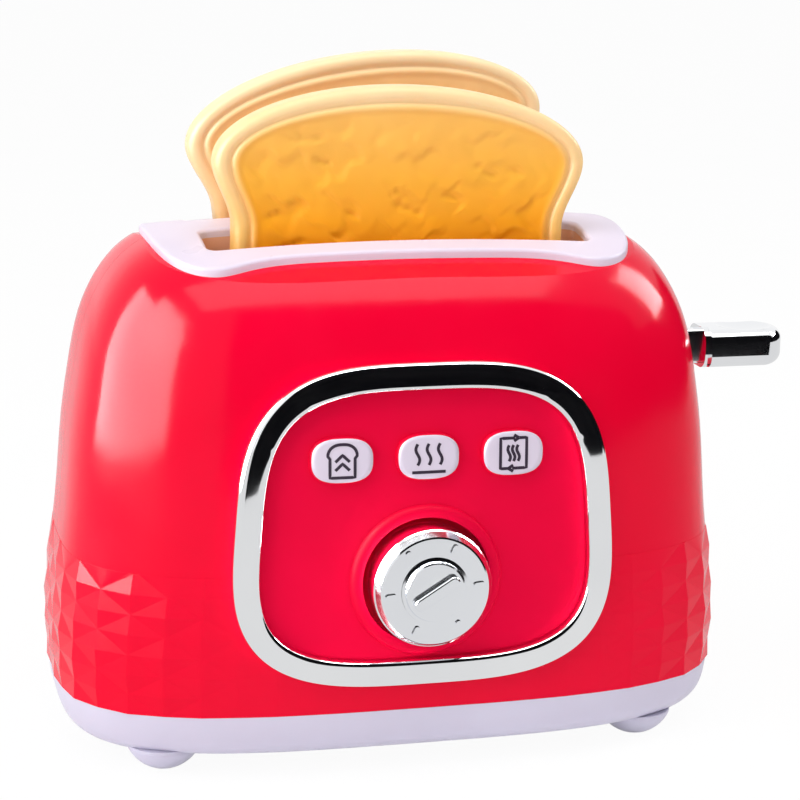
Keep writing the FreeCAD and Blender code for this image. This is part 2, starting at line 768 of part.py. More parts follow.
def control_panel():
    """Panel inside the ring: three raised pads, a soft rim and a deep round recess for the knob."""
    sheet = ring_prism(RING_SEAT - RING_BAND - PANEL_CLEAR)
    sheet = sheet.common(front_skin(-PANEL_RECESS)).cut(front_skin(-PANEL_RECESS - PANEL_THICK))
    y = panel_front_y(KNOB_Z)
    centre = V(0, y, KNOB_Z)
    rim = Part.makeTorus(RIM_RADIUS, RIM_SECTION, V(0, y + RIM_SINK, KNOB_Z), V(0, 1, 0))
    cup = rod(RIM_RADIUS, RECESS_DEPTH + PANEL_THICK, centre, V(0, 1, 0))
    solids = [rim, cup]
    pads = front_skin(PAD_PROUD - PANEL_RECESS)
    for x in pad_places():
        pad = pad_prism(x).common(pads)
        face = min(pad.Faces, key=lambda f: f.CenterOfMass.y)
        solids.append(pad.makeFillet(PAD_ROUND, face.Edges))
    for side in (-1, 1):
        start = V(side * timer_ear_x(), y + 1, KNOB_Z)
        solids.append(rod(TIMER_BOSS, timer_ear_y() - y - 1, start, V(0, 1, 0)))
    sheet = sheet.fuse(solids)
    holes = [
        rod(RECESS_RADIUS, RECESS_DEPTH + 20, centre - V(0, 20, 0), V(0, 1, 0)),
        rod(SHAFT_RADIUS + SHAFT_FIT, 40, centre - V(0, 10, 0), V(0, 1, 0)),
    ]
    for side in (-1, 1):
        ear = V(side * timer_ear_x(), timer_ear_y(), KNOB_Z)
        holes.append(rod(EAR_SCREW - 0.2, timer_ear_y() - y - PANEL_THICK - 1, ear, V(0, -1, 0)))
    return largest(sheet.cut(holes))


def pad_places():
    return (-PAD_SPACING, 0.0, PAD_SPACING)


def turned(profile, place):
    """Solid turned about an axis along Y through place; profile is (radius, depth) points."""
    points = [V(r, y, 0) for r, y in profile]
    face = Part.Face(Part.makePolygon(points + [points[0]]))
    solid = face.revolve(V(0, 0, 0), V(0, 1, 0), 360)
    solid.translate(place)
    return solid


def timer_knob():
    """Round knob with a bevelled rim, a central step down for the cap and six raised marks."""
    back = KNOB_THICK
    body = turned([(0, 0), (KNOB_RIM - 0.5, 0), (KNOB_RIM, 0.25), (KNOB_RADIUS - 0.4, KNOB_BEVEL),
                   (KNOB_RADIUS, KNOB_BEVEL + 0.5), (KNOB_RADIUS, back), (0, back)],
                  V(0, KNOB_FACE_Y, KNOB_Z))
    hollow = turned([(SHAFT_RADIUS + 2.2, KNOB_SKIN), (KNOB_RADIUS - KNOB_SKIN, KNOB_SKIN),
                     (KNOB_RADIUS - KNOB_SKIN, back + 1), (SHAFT_RADIUS + 2.2, back + 1)],
                    V(0, KNOB_FACE_Y, KNOB_Z))
    body = body.cut(hollow)
    marks = []
    for i in range(MARKS):
        mark = rounded_box(MARK_RADIUS - MARK_LENGTH / 2, MARK_RADIUS + MARK_LENGTH / 2,
                           -MARK_WIDTH / 2, MARK_WIDTH / 2, 0, MARK_PROUD + 0.5, MARK_WIDTH * 0.45)
        mark.Placement = FreeCAD.Placement(V(0, KNOB_FACE_Y + 0.5, KNOB_Z), FreeCAD.Rotation(V(1, 0, 0), 90))
        mark.rotate(V(0, KNOB_FACE_Y, KNOB_Z), V(0, 1, 0), 360 * i / MARKS + MARK_PHASE)
        marks.append(mark)
    body = body.fuse(marks)
    socket = rod(SHAFT_RADIUS + SEAT_FIT, KNOB_THICK, V(0, KNOB_FACE_Y + KNOB_SKIN, KNOB_Z), V(0, 1, 0))
    cap_seat = rod(CAP_RADIUS + CAP_CLEAR, CAP_SINK, V(0, KNOB_FACE_Y, KNOB_Z), V(0, 1, 0))
    return only_solid(body.cut([socket, cap_seat]))


def knob_cap():
    """Stepped bright cap let into the knob, with a raised oblong pointer."""
    cap = turned([(0, -CAP_STEP), (CAP_RADIUS - 1.6, -CAP_STEP), (CAP_RADIUS - 1.2, -CAP_STEP + 0.3),
                  (CAP_RADIUS - 0.9, -0.5), (CAP_RADIUS, -0.3), (CAP_RADIUS, CAP_SINK), (0, CAP_SINK)],
                 V(0, KNOB_FACE_Y, KNOB_Z))
    half = POINTER_LENGTH / 2
    pointer = rounded_box(-half, half, -POINTER_WIDTH / 2, POINTER_WIDTH / 2,
                          0, CAP_STEP + POINTER_PROUD, POINTER_WIDTH * 0.48)
    top = [e for e in pointer.Edges if e.BoundBox.ZMin > CAP_STEP + POINTER_PROUD - 0.01]
    pointer = pointer.makeFillet(0.6, top)
    pointer.Placement = FreeCAD.Placement(V(0, KNOB_FACE_Y, KNOB_Z), FreeCAD.Rotation(V(1, 0, 0), 90))
    pointer.rotate(V(0, KNOB_FACE_Y, KNOB_Z), V(0, 1, 0), -POINTER_TILT)
    return only_solid(cap.fuse(pointer))


def knob_shaft():
    """Shaft from the knob through the panel to the back bearing of the timer case."""
    start = KNOB_FACE_Y + KNOB_SKIN + 0.1
    end = timer_back_y() - TIMER_WALL * 0.5
    return rod(SHAFT_RADIUS, end - start, V(0, start, KNOB_Z), V(0, 1, 0))


# Timer

def timer_back_y():
    return timer_front_y() + TIMER_DEPTH


def timer_ear_x():
    return TIMER_WIDTH / 2 + TIMER_BOSS + 0.4


def timer_ear_y():
    return timer_front_y() + EAR_SET_BACK


def timer_case():
    """Open-fronted box with a back bearing and two screw ears."""
    w, h, t = TIMER_WIDTH / 2, TIMER_HEIGHT / 2, TIMER_WALL
    y0, y1 = timer_front_y() + COVER_THICK, timer_back_y()
    case = box(-w, w, y0, y1, KNOB_Z - h, KNOB_Z + h)
    upright = [e for e in case.Edges if e.BoundBox.YLength > TIMER_DEPTH / 2]
    case = case.makeFillet(3.0, upright)
    case = case.cut(box(-w + t, w - t, y0 - 1, y1 - t, KNOB_Z - h + t, KNOB_Z + h - t))
    ears = []
    for side in (-1, 1):
        x = side * timer_ear_x()
        ear = rod(TIMER_BOSS, EAR_THICK, V(x, timer_ear_y(), KNOB_Z), V(0, 1, 0))
        inner, outer = sorted((side * (w - t / 2), x))
        ear = ear.fuse(box(inner, outer, timer_ear_y(), timer_ear_y() + EAR_THICK,
                           KNOB_Z - TIMER_BOSS, KNOB_Z + TIMER_BOSS))
        ears.append(ear)
    case = case.fuse(ears)
    holes = [rod(SHAFT_RADIUS + SHAFT_FIT, 10, V(0, y1 - t - 1, KNOB_Z), V(0, 1, 0))]
    for side in (-1, 1):
        start = V(side * timer_ear_x(), timer_ear_y() - 2, KNOB_Z)
        holes.append(rod(EAR_SCREW + 0.15, 10, start, V(0, 1, 0)))
    return only_solid(case.cut(holes))


def timer_cover():
    """Front plate of the timer case, against the back of the knob recess."""
    w, h = TIMER_WIDTH / 2, TIMER_HEIGHT / 2
    y0 = timer_front_y()
    plate = box(-w, w, y0, y0 + COVER_THICK, KNOB_Z - h, KNOB_Z + h)
    upright = [e for e in plate.Edges if e.BoundBox.YLength > COVER_THICK / 2]
    plate = plate.makeFillet(3.0, upright)
    return only_solid(plate.cut(rod(SHAFT_RADIUS + SHAFT_FIT, 10, V(0, y0 - 2, KNOB_Z), V(0, 1, 0))))


def star_wheel():
    """Toothed wheel on the shaft that clicks past the pawl: its outline is a cosine wave."""
    count = STAR_TEETH * 6
    mean = STAR_RADIUS - STAR_TOOTH / 2
    points = []
    for i in range(count):
        angle = 2 * math.pi * i / count
        r = mean + STAR_TOOTH / 2 * math.cos(STAR_TEETH * angle)
        points.append(V(r * math.cos(angle), star_y(), KNOB_Z + r * math.sin(angle)))
    curve = Part.BSplineCurve()
    curve.interpolate(Points=points, PeriodicFlag=True)
    wheel = prism(Part.Wire([curve.toShape()]), V(0, STAR_THICK, 0))
    hub = rod(SHAFT_RADIUS + 2, STAR_THICK + 4, V(0, star_y() - 2, KNOB_Z), V(0, 1, 0))
    bore = rod(SHAFT_RADIUS + SEAT_FIT, 30, V(0, star_y() - 10, KNOB_Z), V(0, 1, 0))
    return only_solid(wheel.fuse(hub).cut(bore))


def star_y():
    return timer_front_y() + COVER_THICK + 5.0


def click_pawl():
    """Bent spring leaf clamped to the case floor, its nose just under the wheel's teeth."""
    floor = KNOB_Z - TIMER_HEIGHT / 2 + TIMER_WALL
    nose = KNOB_Z - STAR_RADIUS - PAWL_GAP
    reach = TIMER_WIDTH / 2 - TIMER_WALL - 1.5
    t = PAWL_THICK
    points = [V(reach, 0, floor), V(reach, 0, floor + t), V(reach - 8, 0, floor + t), V(1.5, 0, nose - 1.6 + t),
              V(0.6, 0, nose), V(-0.6, 0, nose), V(-1.5, 0, nose - 1.6), V(-0.4, 0, nose - 1.6),
              V(0.6, 0, nose - 1.4), V(reach - 8.5, 0, floor)]
    leaf = prism(closed_outline(points), V(0, STAR_THICK - 1, 0))
    leaf.translate(V(0, star_y() + 0.5, 0))
    return leaf


def timer_screws():
    solids = []
    for side in (-1, 1):
        place = V(side * timer_ear_x(), timer_ear_y() + EAR_THICK, KNOB_Z)
        solids.append(screw(EAR_THICK + 5.0, EAR_SCREW - 0.25, EAR_SCREW * 1.9, 1.4, place, V(0, -1, 0)))
    return Part.makeCompound(solids)


# Carriage, rods and lever

def block_bottom():
    return LEDGE_TOP - LEDGE_THICK - 2.0


def block_top():
    return block_bottom() + BLOCK_HEIGHT


def ledge_top(side):
    """The rear ledge stands higher, so that the rear slice shows above the front one."""
    return LEDGE_TOP + (REAR_LEDGE_STEP if side > 0 else 0)


def side_x(z):
    return half_width(z)


def arm_end():
    return side_x(LEVER_Z) + LEVER_STANDOFF


def carriage():
    """Cross block that slides on the rods, two bread ledges and the upright that carries the arm."""
    block = rounded_box(BLOCK_X, BLOCK_X + BLOCK_LENGTH, -BLOCK_WIDTH / 2, BLOCK_WIDTH / 2,
                        block_bottom(), block_top(), 2.0)
    solids = []
    for side in (-1, 1):
        y = side * SLOT_PITCH / 2
        half = LEDGE_WIDTH / 2
        x0, x1 = BLOCK_X - LEDGE_REACH, BLOCK_X + 2
        low = ledge_top(side) - LEDGE_THICK
        solids.append(box(x0, x1, y - half, y + half, low, ledge_top(side)))
        solids.append(box(x0, x1, y - LEDGE_RIB / 2, y + LEDGE_RIB / 2, block_bottom(), low + 0.5))
    x1 = BLOCK_X + BLOCK_LENGTH
    solids.append(box(x1 - UPRIGHT_THICK, x1, -UPRIGHT_WIDTH / 2, UPRIGHT_WIDTH / 2,
                      block_bottom(), LEVER_Z + ARM_HEIGHT / 2))
    for y in rod_places():
        solids.append(rod(BUSH_RADIUS, BUSH_HEIGHT, V(ROD_X, y, block_top()), V(0, 0, 1)))
    solids.append(box(x1 - 1, CATCH_X + CATCH_THICK / 2 + 1, TONGUE_Y0, TONGUE_Y1,
                      block_bottom(), block_bottom() + TONGUE_THICK))
    body = block.fuse(solids)
    low = block_bottom() - 10
    holes = [rod(ROD_RADIUS + ROD_FIT, 60, V(ROD_X, y, low), V(0, 0, 1)) for y in rod_places()]
    holes.append(rod(ARM_SCREW - 0.2, 20, V(x1 - 10, 0, LEVER_Z), V(1, 0, 0)))
    return only_solid(body.cut(holes))


def lever_arm():
    """Flat arm from the carriage's upright out through the slot in the end wall."""
    x0 = BLOCK_X + BLOCK_LENGTH
    arm = box(x0, arm_end(), -ARM_THICK / 2, ARM_THICK / 2,
              LEVER_Z - ARM_HEIGHT / 2, LEVER_Z + ARM_HEIGHT / 2)
    long_edges = [e for e in arm.Edges if e.BoundBox.XLength > 5]
    arm = arm.makeFillet(0.8, long_edges)
    return only_solid(arm.cut(rod(ARM_SCREW + 0.1, 60, V(x0 - 10, 0, LEVER_Z), V(1, 0, 0))))


def lever_knob():
    """Bright finger tab: thin flange, rounded oblong body and a shallow thumb dish on top."""
    x0 = arm_end()
    flange = rounded_block(x0, x0 + FLANGE_THICK, FLANGE_WIDTH, FLANGE_HEIGHT, FLANGE_HEIGHT * 0.38)
    x1 = x0 + FLANGE_THICK
    half = LEVER_WIDTH / 2
    low, high = LEVER_Z - LEVER_HEIGHT / 2, LEVER_Z + LEVER_HEIGHT / 2
    nose = LEVER_LENGTH - half * LEVER_NOSE
    outline = [
        Part.makeLine(V(x1 - 0.5, -half, low), V(x1 + nose, -half, low)),
        Part.Arc(V(x1 + nose, -half, low), V(x1 + LEVER_LENGTH, 0, low), V(x1 + nose, half, low)).toShape(),
        Part.makeLine(V(x1 + nose, half, low), V(x1 - 0.5, half, low)),
        Part.makeLine(V(x1 - 0.5, half, low), V(x1 - 0.5, -half, low)),
    ]
    tab = prism(Part.Wire(outline), V(0, 0, high - low))
    edges = [e for e in tab.Edges if e.BoundBox.XMax > x1 + 1]
    tab = tab.makeFillet(LEVER_EDGE, edges)
    dish_x = x1 + LEVER_LENGTH * 0.52
    dish = Part.makeSphere(DISH_RADIUS, V(dish_x, 0, high + DISH_RADIUS - DISH_DEPTH))
    knob = flange.fuse(tab).cut(dish)
    return only_solid(knob.cut(rod(ARM_SCREW - 0.2, 12, V(x0 - 1, 0, LEVER_Z), V(1, 0, 0))))


def rounded_block(x0, x1, width, height, radius):
    """Plate across X whose edges along X are rounded."""
    solid = box(x0, x1, -width / 2, width / 2, LEVER_Z - height / 2, LEVER_Z + height / 2)
    along = [e for e in solid.Edges if e.BoundBox.XLength > (x1 - x0) / 2]
    return solid.makeFillet(radius, along)


def lever_screw():
    """Screw along the arm that clamps upright, arm and finger tab together."""
    x0 = BLOCK_X + BLOCK_LENGTH - UPRIGHT_THICK
    length = arm_end() + 8.0 - x0
    return screw(length, ARM_SCREW - 0.25, ARM_SCREW * 1.9, 1.4, V(x0, 0, LEVER_Z), V(1, 0, 0))


def guide_rod(y):
    start = base_floor() - 0.5
    return rod(ROD_RADIUS, ROD_TOP - start, V(ROD_X, y, start), V(0, 0, 1))


def rod_bracket():
    """Angle bracket on the wells' end walls that holds the rods' upper ends."""
    x0 = SLOT_LENGTH / 2 + WELL_WALL
    half = BLOCK_WIDTH / 2
    wall = box(x0, x0 + BRACKET_THICK, -half, half, ROD_TOP - BRACKET_DROP, ROD_TOP)
    shelf = box(x0, ROD_X + SOCKET_RADIUS + 1, -half, half, ROD_TOP - BRACKET_THICK, ROD_TOP)
    bracket = wall.fuse(shelf)
    for side in (-1, 1):
        y = side * half
        rib = prism(closed_outline([V(x0 + 1, y, ROD_TOP - 1), V(ROD_X, y, ROD_TOP - 1),
                                    V(x0 + 1, y, ROD_TOP - BRACKET_DROP + 1)]), V(0, -side * BRACKET_RIB, 0))
        bracket = bracket.fuse(rib)
    holes = [rod(ROD_RADIUS + SEAT_FIT, 20, V(ROD_X, y, ROD_TOP - 10), V(0, 0, 1)) for y in rod_places()]
    for side in (-1, 1):
        start = V(x0 - 2, side * SLOT_PITCH / 2, bracket_screw_z())
        holes.append(rod(EAR_SCREW + 0.15, 10, start, V(1, 0, 0)))
    return only_solid(bracket.cut(holes))


def bracket_screw_z():
    return ROD_TOP - BRACKET_DROP / 2


def bracket_screws():
    solids = []
    for side in (-1, 1):
        place = V(SLOT_LENGTH / 2 + WELL_WALL + BRACKET_THICK, side * SLOT_PITCH / 2, bracket_screw_z())
        solids.append(screw(BRACKET_THICK + WELL_WALL, EAR_SCREW - 0.25, EAR_SCREW * 1.9, 1.4,
                            place, V(-1, 0, 0)))
    return Part.makeCompound(solids)


def return_spring():
    """Compression spring round the guide rod, from the base socket up to the carriage."""
    z0, z1 = SOCKET_TOP + SPRING_WIRE + 0.05, block_bottom() - SPRING_WIRE - 0.05
    per_turn = 24
    steps = SPRING_TURNS * per_turn
    points = []
    for i in range(steps + 1):
        angle = 2 * math.pi * i / per_turn
        points.append(V(ROD_X + SPRING_COIL * math.cos(angle), SPRING_COIL * math.sin(angle),
                        z0 + (z1 - z0) * i / steps))
    coil = Part.BSplineCurve()
    coil.interpolate(points)
    section = Part.Wire([Part.makeCircle(SPRING_WIRE, points[0], coil.tangent(coil.FirstParameter)[0])])
    return Part.Wire([coil.toShape()]).makePipeShell([section], True, True)


def catch():
    """Hooked lever on a cross pin that swings over the tongue of the lowered carriage."""
    z = CATCH_PIN_Z
    tongue_top = block_bottom() + TONGUE_THICK - TRAVEL
    under = tongue_top + CATCH_CLEAR
    y_in, y_out = TONGUE_Y1 + CATCH_GAP, CATCH_PIN_Y + 3.2
    points = [V(0, CATCH_PIN_Y - 3.2, z - 3), V(0, y_out, z - 3), V(0, y_out, under + CATCH_HOOK),
              V(0, y_in + 0.6, under + CATCH_HOOK), V(0, y_in, under + CATCH_HOOK - 1.2), V(0, y_in, under),
              V(0, y_in + CATCH_BITE, under), V(0, y_in + CATCH_BITE + 0.6, z + 6)]
    arm = prism(closed_outline(points), V(CATCH_THICK, 0, 0))
    arm.translate(V(CATCH_X - CATCH_THICK / 2, 0, 0))
    boss = rod(3.8, CATCH_THICK, V(CATCH_X - CATCH_THICK / 2, CATCH_PIN_Y, z), V(1, 0, 0))
    arm = arm.fuse(boss)
    bore = rod(CATCH_PIN_RADIUS + SHAFT_FIT, 20, V(CATCH_X - 10, CATCH_PIN_Y, z), V(1, 0, 0))
    return only_solid(arm.cut(bore))


def catch_pin():
    x0 = catch_post_places()[0]
    x1 = catch_post_places()[1] + CATCH_POST
    return rod(CATCH_PIN_RADIUS, x1 - x0, V(x0, CATCH_PIN_Y, CATCH_PIN_Z), V(1, 0, 0))


# Bread

def slice_outline(inset):
    """Bread outline: rounded foot, straight sides, a waist and a broad domed top, set in by inset."""
    w, lobe, low = SLICE_HALF_WIDTH - inset, SLICE_LOBE - inset, inset
    r = SLICE_FOOT_ROUND - inset
    dome = SLICE_HEIGHT - inset - SLICE_LOBE_Z
    quarter = math.pi / 2
    right = [(w * 0.45, low)]
    for i in range(4):
        angle = quarter * i / 3
        right.append((w - r + r * math.sin(angle), low + r - r * math.cos(angle)))
    right.append((w, (low + r + SLICE_NECK_Z) / 2))
    right.append((w, SLICE_NECK_Z))
    right.append(((w + lobe) / 2, (SLICE_NECK_Z + SLICE_LOBE_Z) / 2 + 1))
    for i in range(7):
        angle = quarter * i / 7
        right.append((lobe * math.cos(angle), SLICE_LOBE_Z + dome * math.sin(angle)))
    points = [(0, low)] + right + [(0, SLICE_LOBE_Z + dome)] + [(-x, z) for x, z in reversed(right)]
    curve = Part.BSplineCurve()
    curve.interpolate(Points=[V(x, 0, z) for x, z in points], PeriodicFlag=True)
    return Part.Wire([curve.toShape()])


def slice_slab(inset, y0, y1):
    slab = prism(slice_outline(inset), V(0, y1 - y0, 0))
    slab.translate(V(0, y0, 0))
    return slab


def bread_slice():
    """Upright slice with a rounded crust and, on both sides, a rim, a groove and a sunk face."""
    half = SLICE_THICK / 2
    slab = slice_slab(0, -half, half)
    rims = [e for f in slab.Faces if abs(f.CenterOfMass.y) > half - 0.01 for e in f.Edges]
    slab = slab.makeFillet(SLICE_EDGE, rims)
    floor = half - SLICE_GROOVE_DEPTH
    face = half - SLICE_FACE_DEPTH
    groove = slice_slab(SLICE_RIM, floor, half + 1)
    groove = groove.cut(slice_slab(SLICE_RIM + SLICE_GROOVE, floor - 1, face))
    return largest(slab.cut([groove, groove.mirror(V(0, 0, 0), V(0, 1, 0))]))


def placed_slice(bread, side, tilt, shift):
    """Copy of the slice leaning by tilt in its slot, its lowest point a hair above the ledge."""
    placed = bread.copy()
    placed.rotate(V(0, 0, 0), V(0, 1, 0), tilt)
    drop = ledge_top(side) + SLICE_SEAT - placed.optimalBoundingBox().ZMin
    placed.translate(V(shift, side * SLOT_PITCH / 2, drop))
    return placed


def footprint_shift(shapes):
    """Move that puts the origin under the middle of everything."""
    boxes = [s.optimalBoundingBox() for s in shapes]
    x = (min(b.XMin for b in boxes) + max(b.XMax for b in boxes)) / 2
    y = (min(b.YMin for b in boxes) + max(b.YMax for b in boxes)) / 2
    return V(-x, -y, 0)


def build():
    whole = housing()
    bread = bread_slice()
    nodes = {
        "front_shell": shell_half(whole, -1),
        "rear_shell": shell_half(whole, 1),
        "top_collar": top_collar(smooth_body()),
        "base": base(),
        "bezel_ring": bezel_ring(),
        "control_panel": control_panel(),
        "front_well": well(-1),
        "rear_well": well(1),
        "timer_knob": timer_knob(),
        "knob_cap": knob_cap(),
        "knob_shaft": knob_shaft(),
        "star_wheel": star_wheel(),
        "timer_case": timer_case(),
        "timer_cover": timer_cover(),
        "click_pawl": click_pawl(),
        "timer_screws": timer_screws(),
        "carriage": carriage(),
        "lever_arm": lever_arm(),
        "lever_knob": lever_knob(),
        "lever_screw": lever_screw(),
        "guide_rod": guide_rod(rod_places()[0]),
        "steady_rod": guide_rod(rod_places()[1]),
        "rod_bracket": rod_bracket(),
        "bracket_screws": bracket_screws(),
        "return_spring": return_spring(),
        "catch": catch(),
        "catch_pin": catch_pin(),
        "case_screws": case_screws(),
        "front_slice": placed_slice(bread, -1, FRONT_TILT, FRONT_SHIFT),
        "rear_slice": placed_slice(bread, 1, REAR_TILT, REAR_SHIFT),
    }
    move = footprint_shift(nodes.values())
    print("moved by", round(move.x, 3), round(move.y, 3))
    for name, shape in nodes.items():
        shape.translate(move)
        shape.exportStep("parts/" + name + ".step")
        print(name, shape.isValid(), len(shape.Solids), round(shape.Volume))


build()
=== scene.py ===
import math
import random

import bpy
from mathutils import Matrix, Vector

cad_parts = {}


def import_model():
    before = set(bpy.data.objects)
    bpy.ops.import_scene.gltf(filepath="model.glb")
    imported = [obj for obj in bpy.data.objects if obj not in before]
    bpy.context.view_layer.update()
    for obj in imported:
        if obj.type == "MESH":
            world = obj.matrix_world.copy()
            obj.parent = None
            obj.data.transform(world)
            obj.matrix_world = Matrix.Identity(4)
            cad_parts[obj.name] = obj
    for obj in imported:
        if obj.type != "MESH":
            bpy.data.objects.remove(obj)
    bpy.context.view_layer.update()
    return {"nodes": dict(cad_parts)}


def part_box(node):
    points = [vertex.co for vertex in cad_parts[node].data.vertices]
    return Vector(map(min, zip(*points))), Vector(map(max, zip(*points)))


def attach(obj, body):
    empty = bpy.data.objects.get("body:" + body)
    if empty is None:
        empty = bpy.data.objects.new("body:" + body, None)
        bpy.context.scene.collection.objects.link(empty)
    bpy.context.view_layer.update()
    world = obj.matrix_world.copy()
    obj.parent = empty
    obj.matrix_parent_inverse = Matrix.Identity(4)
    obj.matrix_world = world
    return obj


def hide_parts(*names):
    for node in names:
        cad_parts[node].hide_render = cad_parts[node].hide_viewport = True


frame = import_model()
nodes = frame["nodes"]

# The toy's own middle: the collar is symmetric about it.
low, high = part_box("top_collar")
MID_X = (low[0] + high[0]) / 2
MID_Y = (low[1] + high[1]) / 2

PAD_SPACING = 0.0244
PAD_Z = 0.0937
PAD_LENGTH = 0.0178
PAD_HEIGHT = 0.0130


# Materials

# Most of a noise texture's values lie between these two.
NOISE_LOW = 0.3
NOISE_HIGH = 0.7

# Noise scales, in cells per metre, and the height of the slow waviness in metres
MOTTLE_SCALE = 14.0
GLOSS_SCALE = 60.0
WAVE_SCALE = 26.0
WAVE_HEIGHT = 0.0004
TOAST_SCALE = 45.0


def srgb(r, g, b):
    """Linear colour from 0-255 display values."""
    def one(v):
        v /= 255
        return v / 12.92 if v <= 0.04045 else ((v + 0.055) / 1.055) ** 2.4
    return (one(r), one(g), one(b), 1.0)


def node(tree, kind, **values):
    made = tree.nodes.new(kind)
    for key, value in values.items():
        setattr(made, key, value)
    return made


def noise(tree, coords, scale, detail=3.0):
    made = node(tree, "ShaderNodeTexNoise")
    made.inputs["Scale"].default_value = scale
    made.inputs["Detail"].default_value = detail
    tree.links.new(coords, made.inputs["Vector"])
    return made.outputs["Fac"]


def ramp(tree, value, stops):
    made = node(tree, "ShaderNodeValToRGB")
    elements = made.color_ramp.elements
    while len(elements) < len(stops):
        elements.new(0.5)
    for element, (place, colour) in zip(elements, stops):
        element.position = place
        element.color = colour
    tree.links.new(value, made.inputs["Fac"])
    return made.outputs["Color"]


def between(tree, value, low, high):
    """Noise value spread over a range."""
    made = node(tree, "ShaderNodeMapRange")
    made.inputs["From Min"].default_value = NOISE_LOW
    made.inputs["From Max"].default_value = NOISE_HIGH
    made.inputs["To Min"].default_value = low
    made.inputs["To Max"].default_value = high
    tree.links.new(value, made.inputs["Value"])
    return made.outputs["Result"]


def bump(tree, height, strength, distance, normal=None):
    made = node(tree, "ShaderNodeBump")
    made.inputs["Strength"].default_value = strength
    made.inputs["Distance"].default_value = distance
    tree.links.new(height, made.inputs["Height"])
    if normal is not None:
        tree.links.new(normal, made.inputs["Normal"])
    return made.outputs["Normal"]


def surface(name, dark, light, rough, metal=0.0, specular=0.5, grain=900.0, grain_depth=0.00003,
            grain_strength=0.15, wave_strength=0.0, subsurface=0.0):
    """Moulded, plated or drawn surface: mottled colour, uneven gloss, fine grain, slow waviness."""
    material = bpy.data.materials.new(name)
    material.use_nodes = True
    tree = material.node_tree
    shader = tree.nodes["Principled BSDF"]
    coords = node(tree, "ShaderNodeTexCoord").outputs["Object"]
    tree.links.new(ramp(tree, noise(tree, coords, MOTTLE_SCALE, 4.0), [(0.35, dark), (0.65, light)]),
                   shader.inputs["Base Color"])
    tree.links.new(between(tree, noise(tree, coords, GLOSS_SCALE), rough * 0.8, rough * 1.25),
                   shader.inputs["Roughness"])
    normal = bump(tree, noise(tree, coords, grain, 2.0), grain_strength, grain_depth)
    if wave_strength:
        normal = bump(tree, noise(tree, coords, WAVE_SCALE, 1.0), wave_strength, WAVE_HEIGHT, normal)
    tree.links.new(normal, shader.inputs["Normal"])
    shader.inputs["Metallic"].default_value = metal
    shader.inputs["Specular IOR Level"].default_value = specular
    if subsurface:
        shader.inputs["Subsurface Weight"].default_value = subsurface
        shader.inputs["Subsurface Scale"].default_value = 0.004
        shader.inputs["Subsurface Radius"].default_value = (1.0, 0.45, 0.15)
    return material


def painted_light_by_height(tree, coords, z0, z1, stops):
    """Colour by height, in shares of the way from z0 to z1; on the bread this paints light falling from
    above.
    """
    split = node(tree, "ShaderNodeSeparateXYZ")
    tree.links.new(coords, split.inputs["Vector"])
    height = node(tree, "ShaderNodeMapRange")
    height.inputs["From Min"].default_value = z0
    height.inputs["From Max"].default_value = z1
    tree.links.new(split.outputs["Z"], height.inputs["Value"])
    return ramp(tree, height.outputs["Result"], stops)


def blended(tree, factor, a, b, kind="MIX"):
    """Two colours mixed by a number or by a node's output."""
    mix = node(tree, "ShaderNodeMix", data_type="RGBA", blend_type=kind)
    if hasattr(factor, "is_linked"):
        tree.links.new(factor, mix.inputs["Factor"])
    else:
        mix.inputs["Factor"].default_value = factor
    tree.links.new(a, mix.inputs["A"])
    tree.links.new(b, mix.inputs["B"])
    return mix.outputs["Result"]


def bread_material(name, z0, z1, pale_shift):
    """Toast-coloured soft plastic: deep orange low down and yellow above, which is painted light from
    above, and a paler crust, which is a painted highlight on its rounded edge.
    """
    # All of the slice's colours are moved towards this pale tone by a given share; the rear slice is paler.
    pale = srgb(255, 238, 205)

    def tone_stops(*stops):
        return [(place, tuple(c + (p - c) * pale_shift for c, p in zip(colour, pale)))
                for place, colour in stops]

    material = surface(name, srgb(250, 172, 70), srgb(255, 184, 84), 0.36, specular=0.14, grain=500.0,
                       subsurface=0.10)
    tree = material.node_tree
    shader = tree.nodes["Principled BSDF"]
    coords = tree.nodes["Texture Coordinate"].outputs["Object"]
    # Face: paler higher up, painted light from above.
    face = painted_light_by_height(tree, coords, z0, z1, tone_stops(
        (0.0, srgb(252, 154, 0)), (0.62, srgb(255, 166, 24)), (0.74, srgb(255, 184, 62)),
        (0.88, srgb(255, 192, 92)), (1.0, srgb(255, 200, 116))))
    # Crust: paler than the face, a painted highlight on its rounded edge, and paler higher up, painted
    # light from above.
    crust = painted_light_by_height(tree, coords, z0, z1, tone_stops(
        (0.0, srgb(254, 180, 66)), (0.6, srgb(255, 200, 112)), (0.78, srgb(255, 216, 158)),
        (0.92, srgb(255, 222, 168)), (1.0, srgb(255, 226, 178))))
    # Where the painted crust highlight is laid, from the mesh's crust attribute.
    share = node(tree, "ShaderNodeAttribute", attribute_name="crust").outputs["Fac"]
    mottle = ramp(tree, noise(tree, coords, TOAST_SCALE, 3.0),
                  [(NOISE_LOW, (0.95, 0.92, 0.86, 1.0)), (NOISE_HIGH, (1.0, 1.0, 1.0, 1.0))])
    tone = blended(tree, share, face, crust)
    tree.links.new(blended(tree, 1.0, tone, mottle, "MULTIPLY"), shader.inputs["Base Color"])
    return material


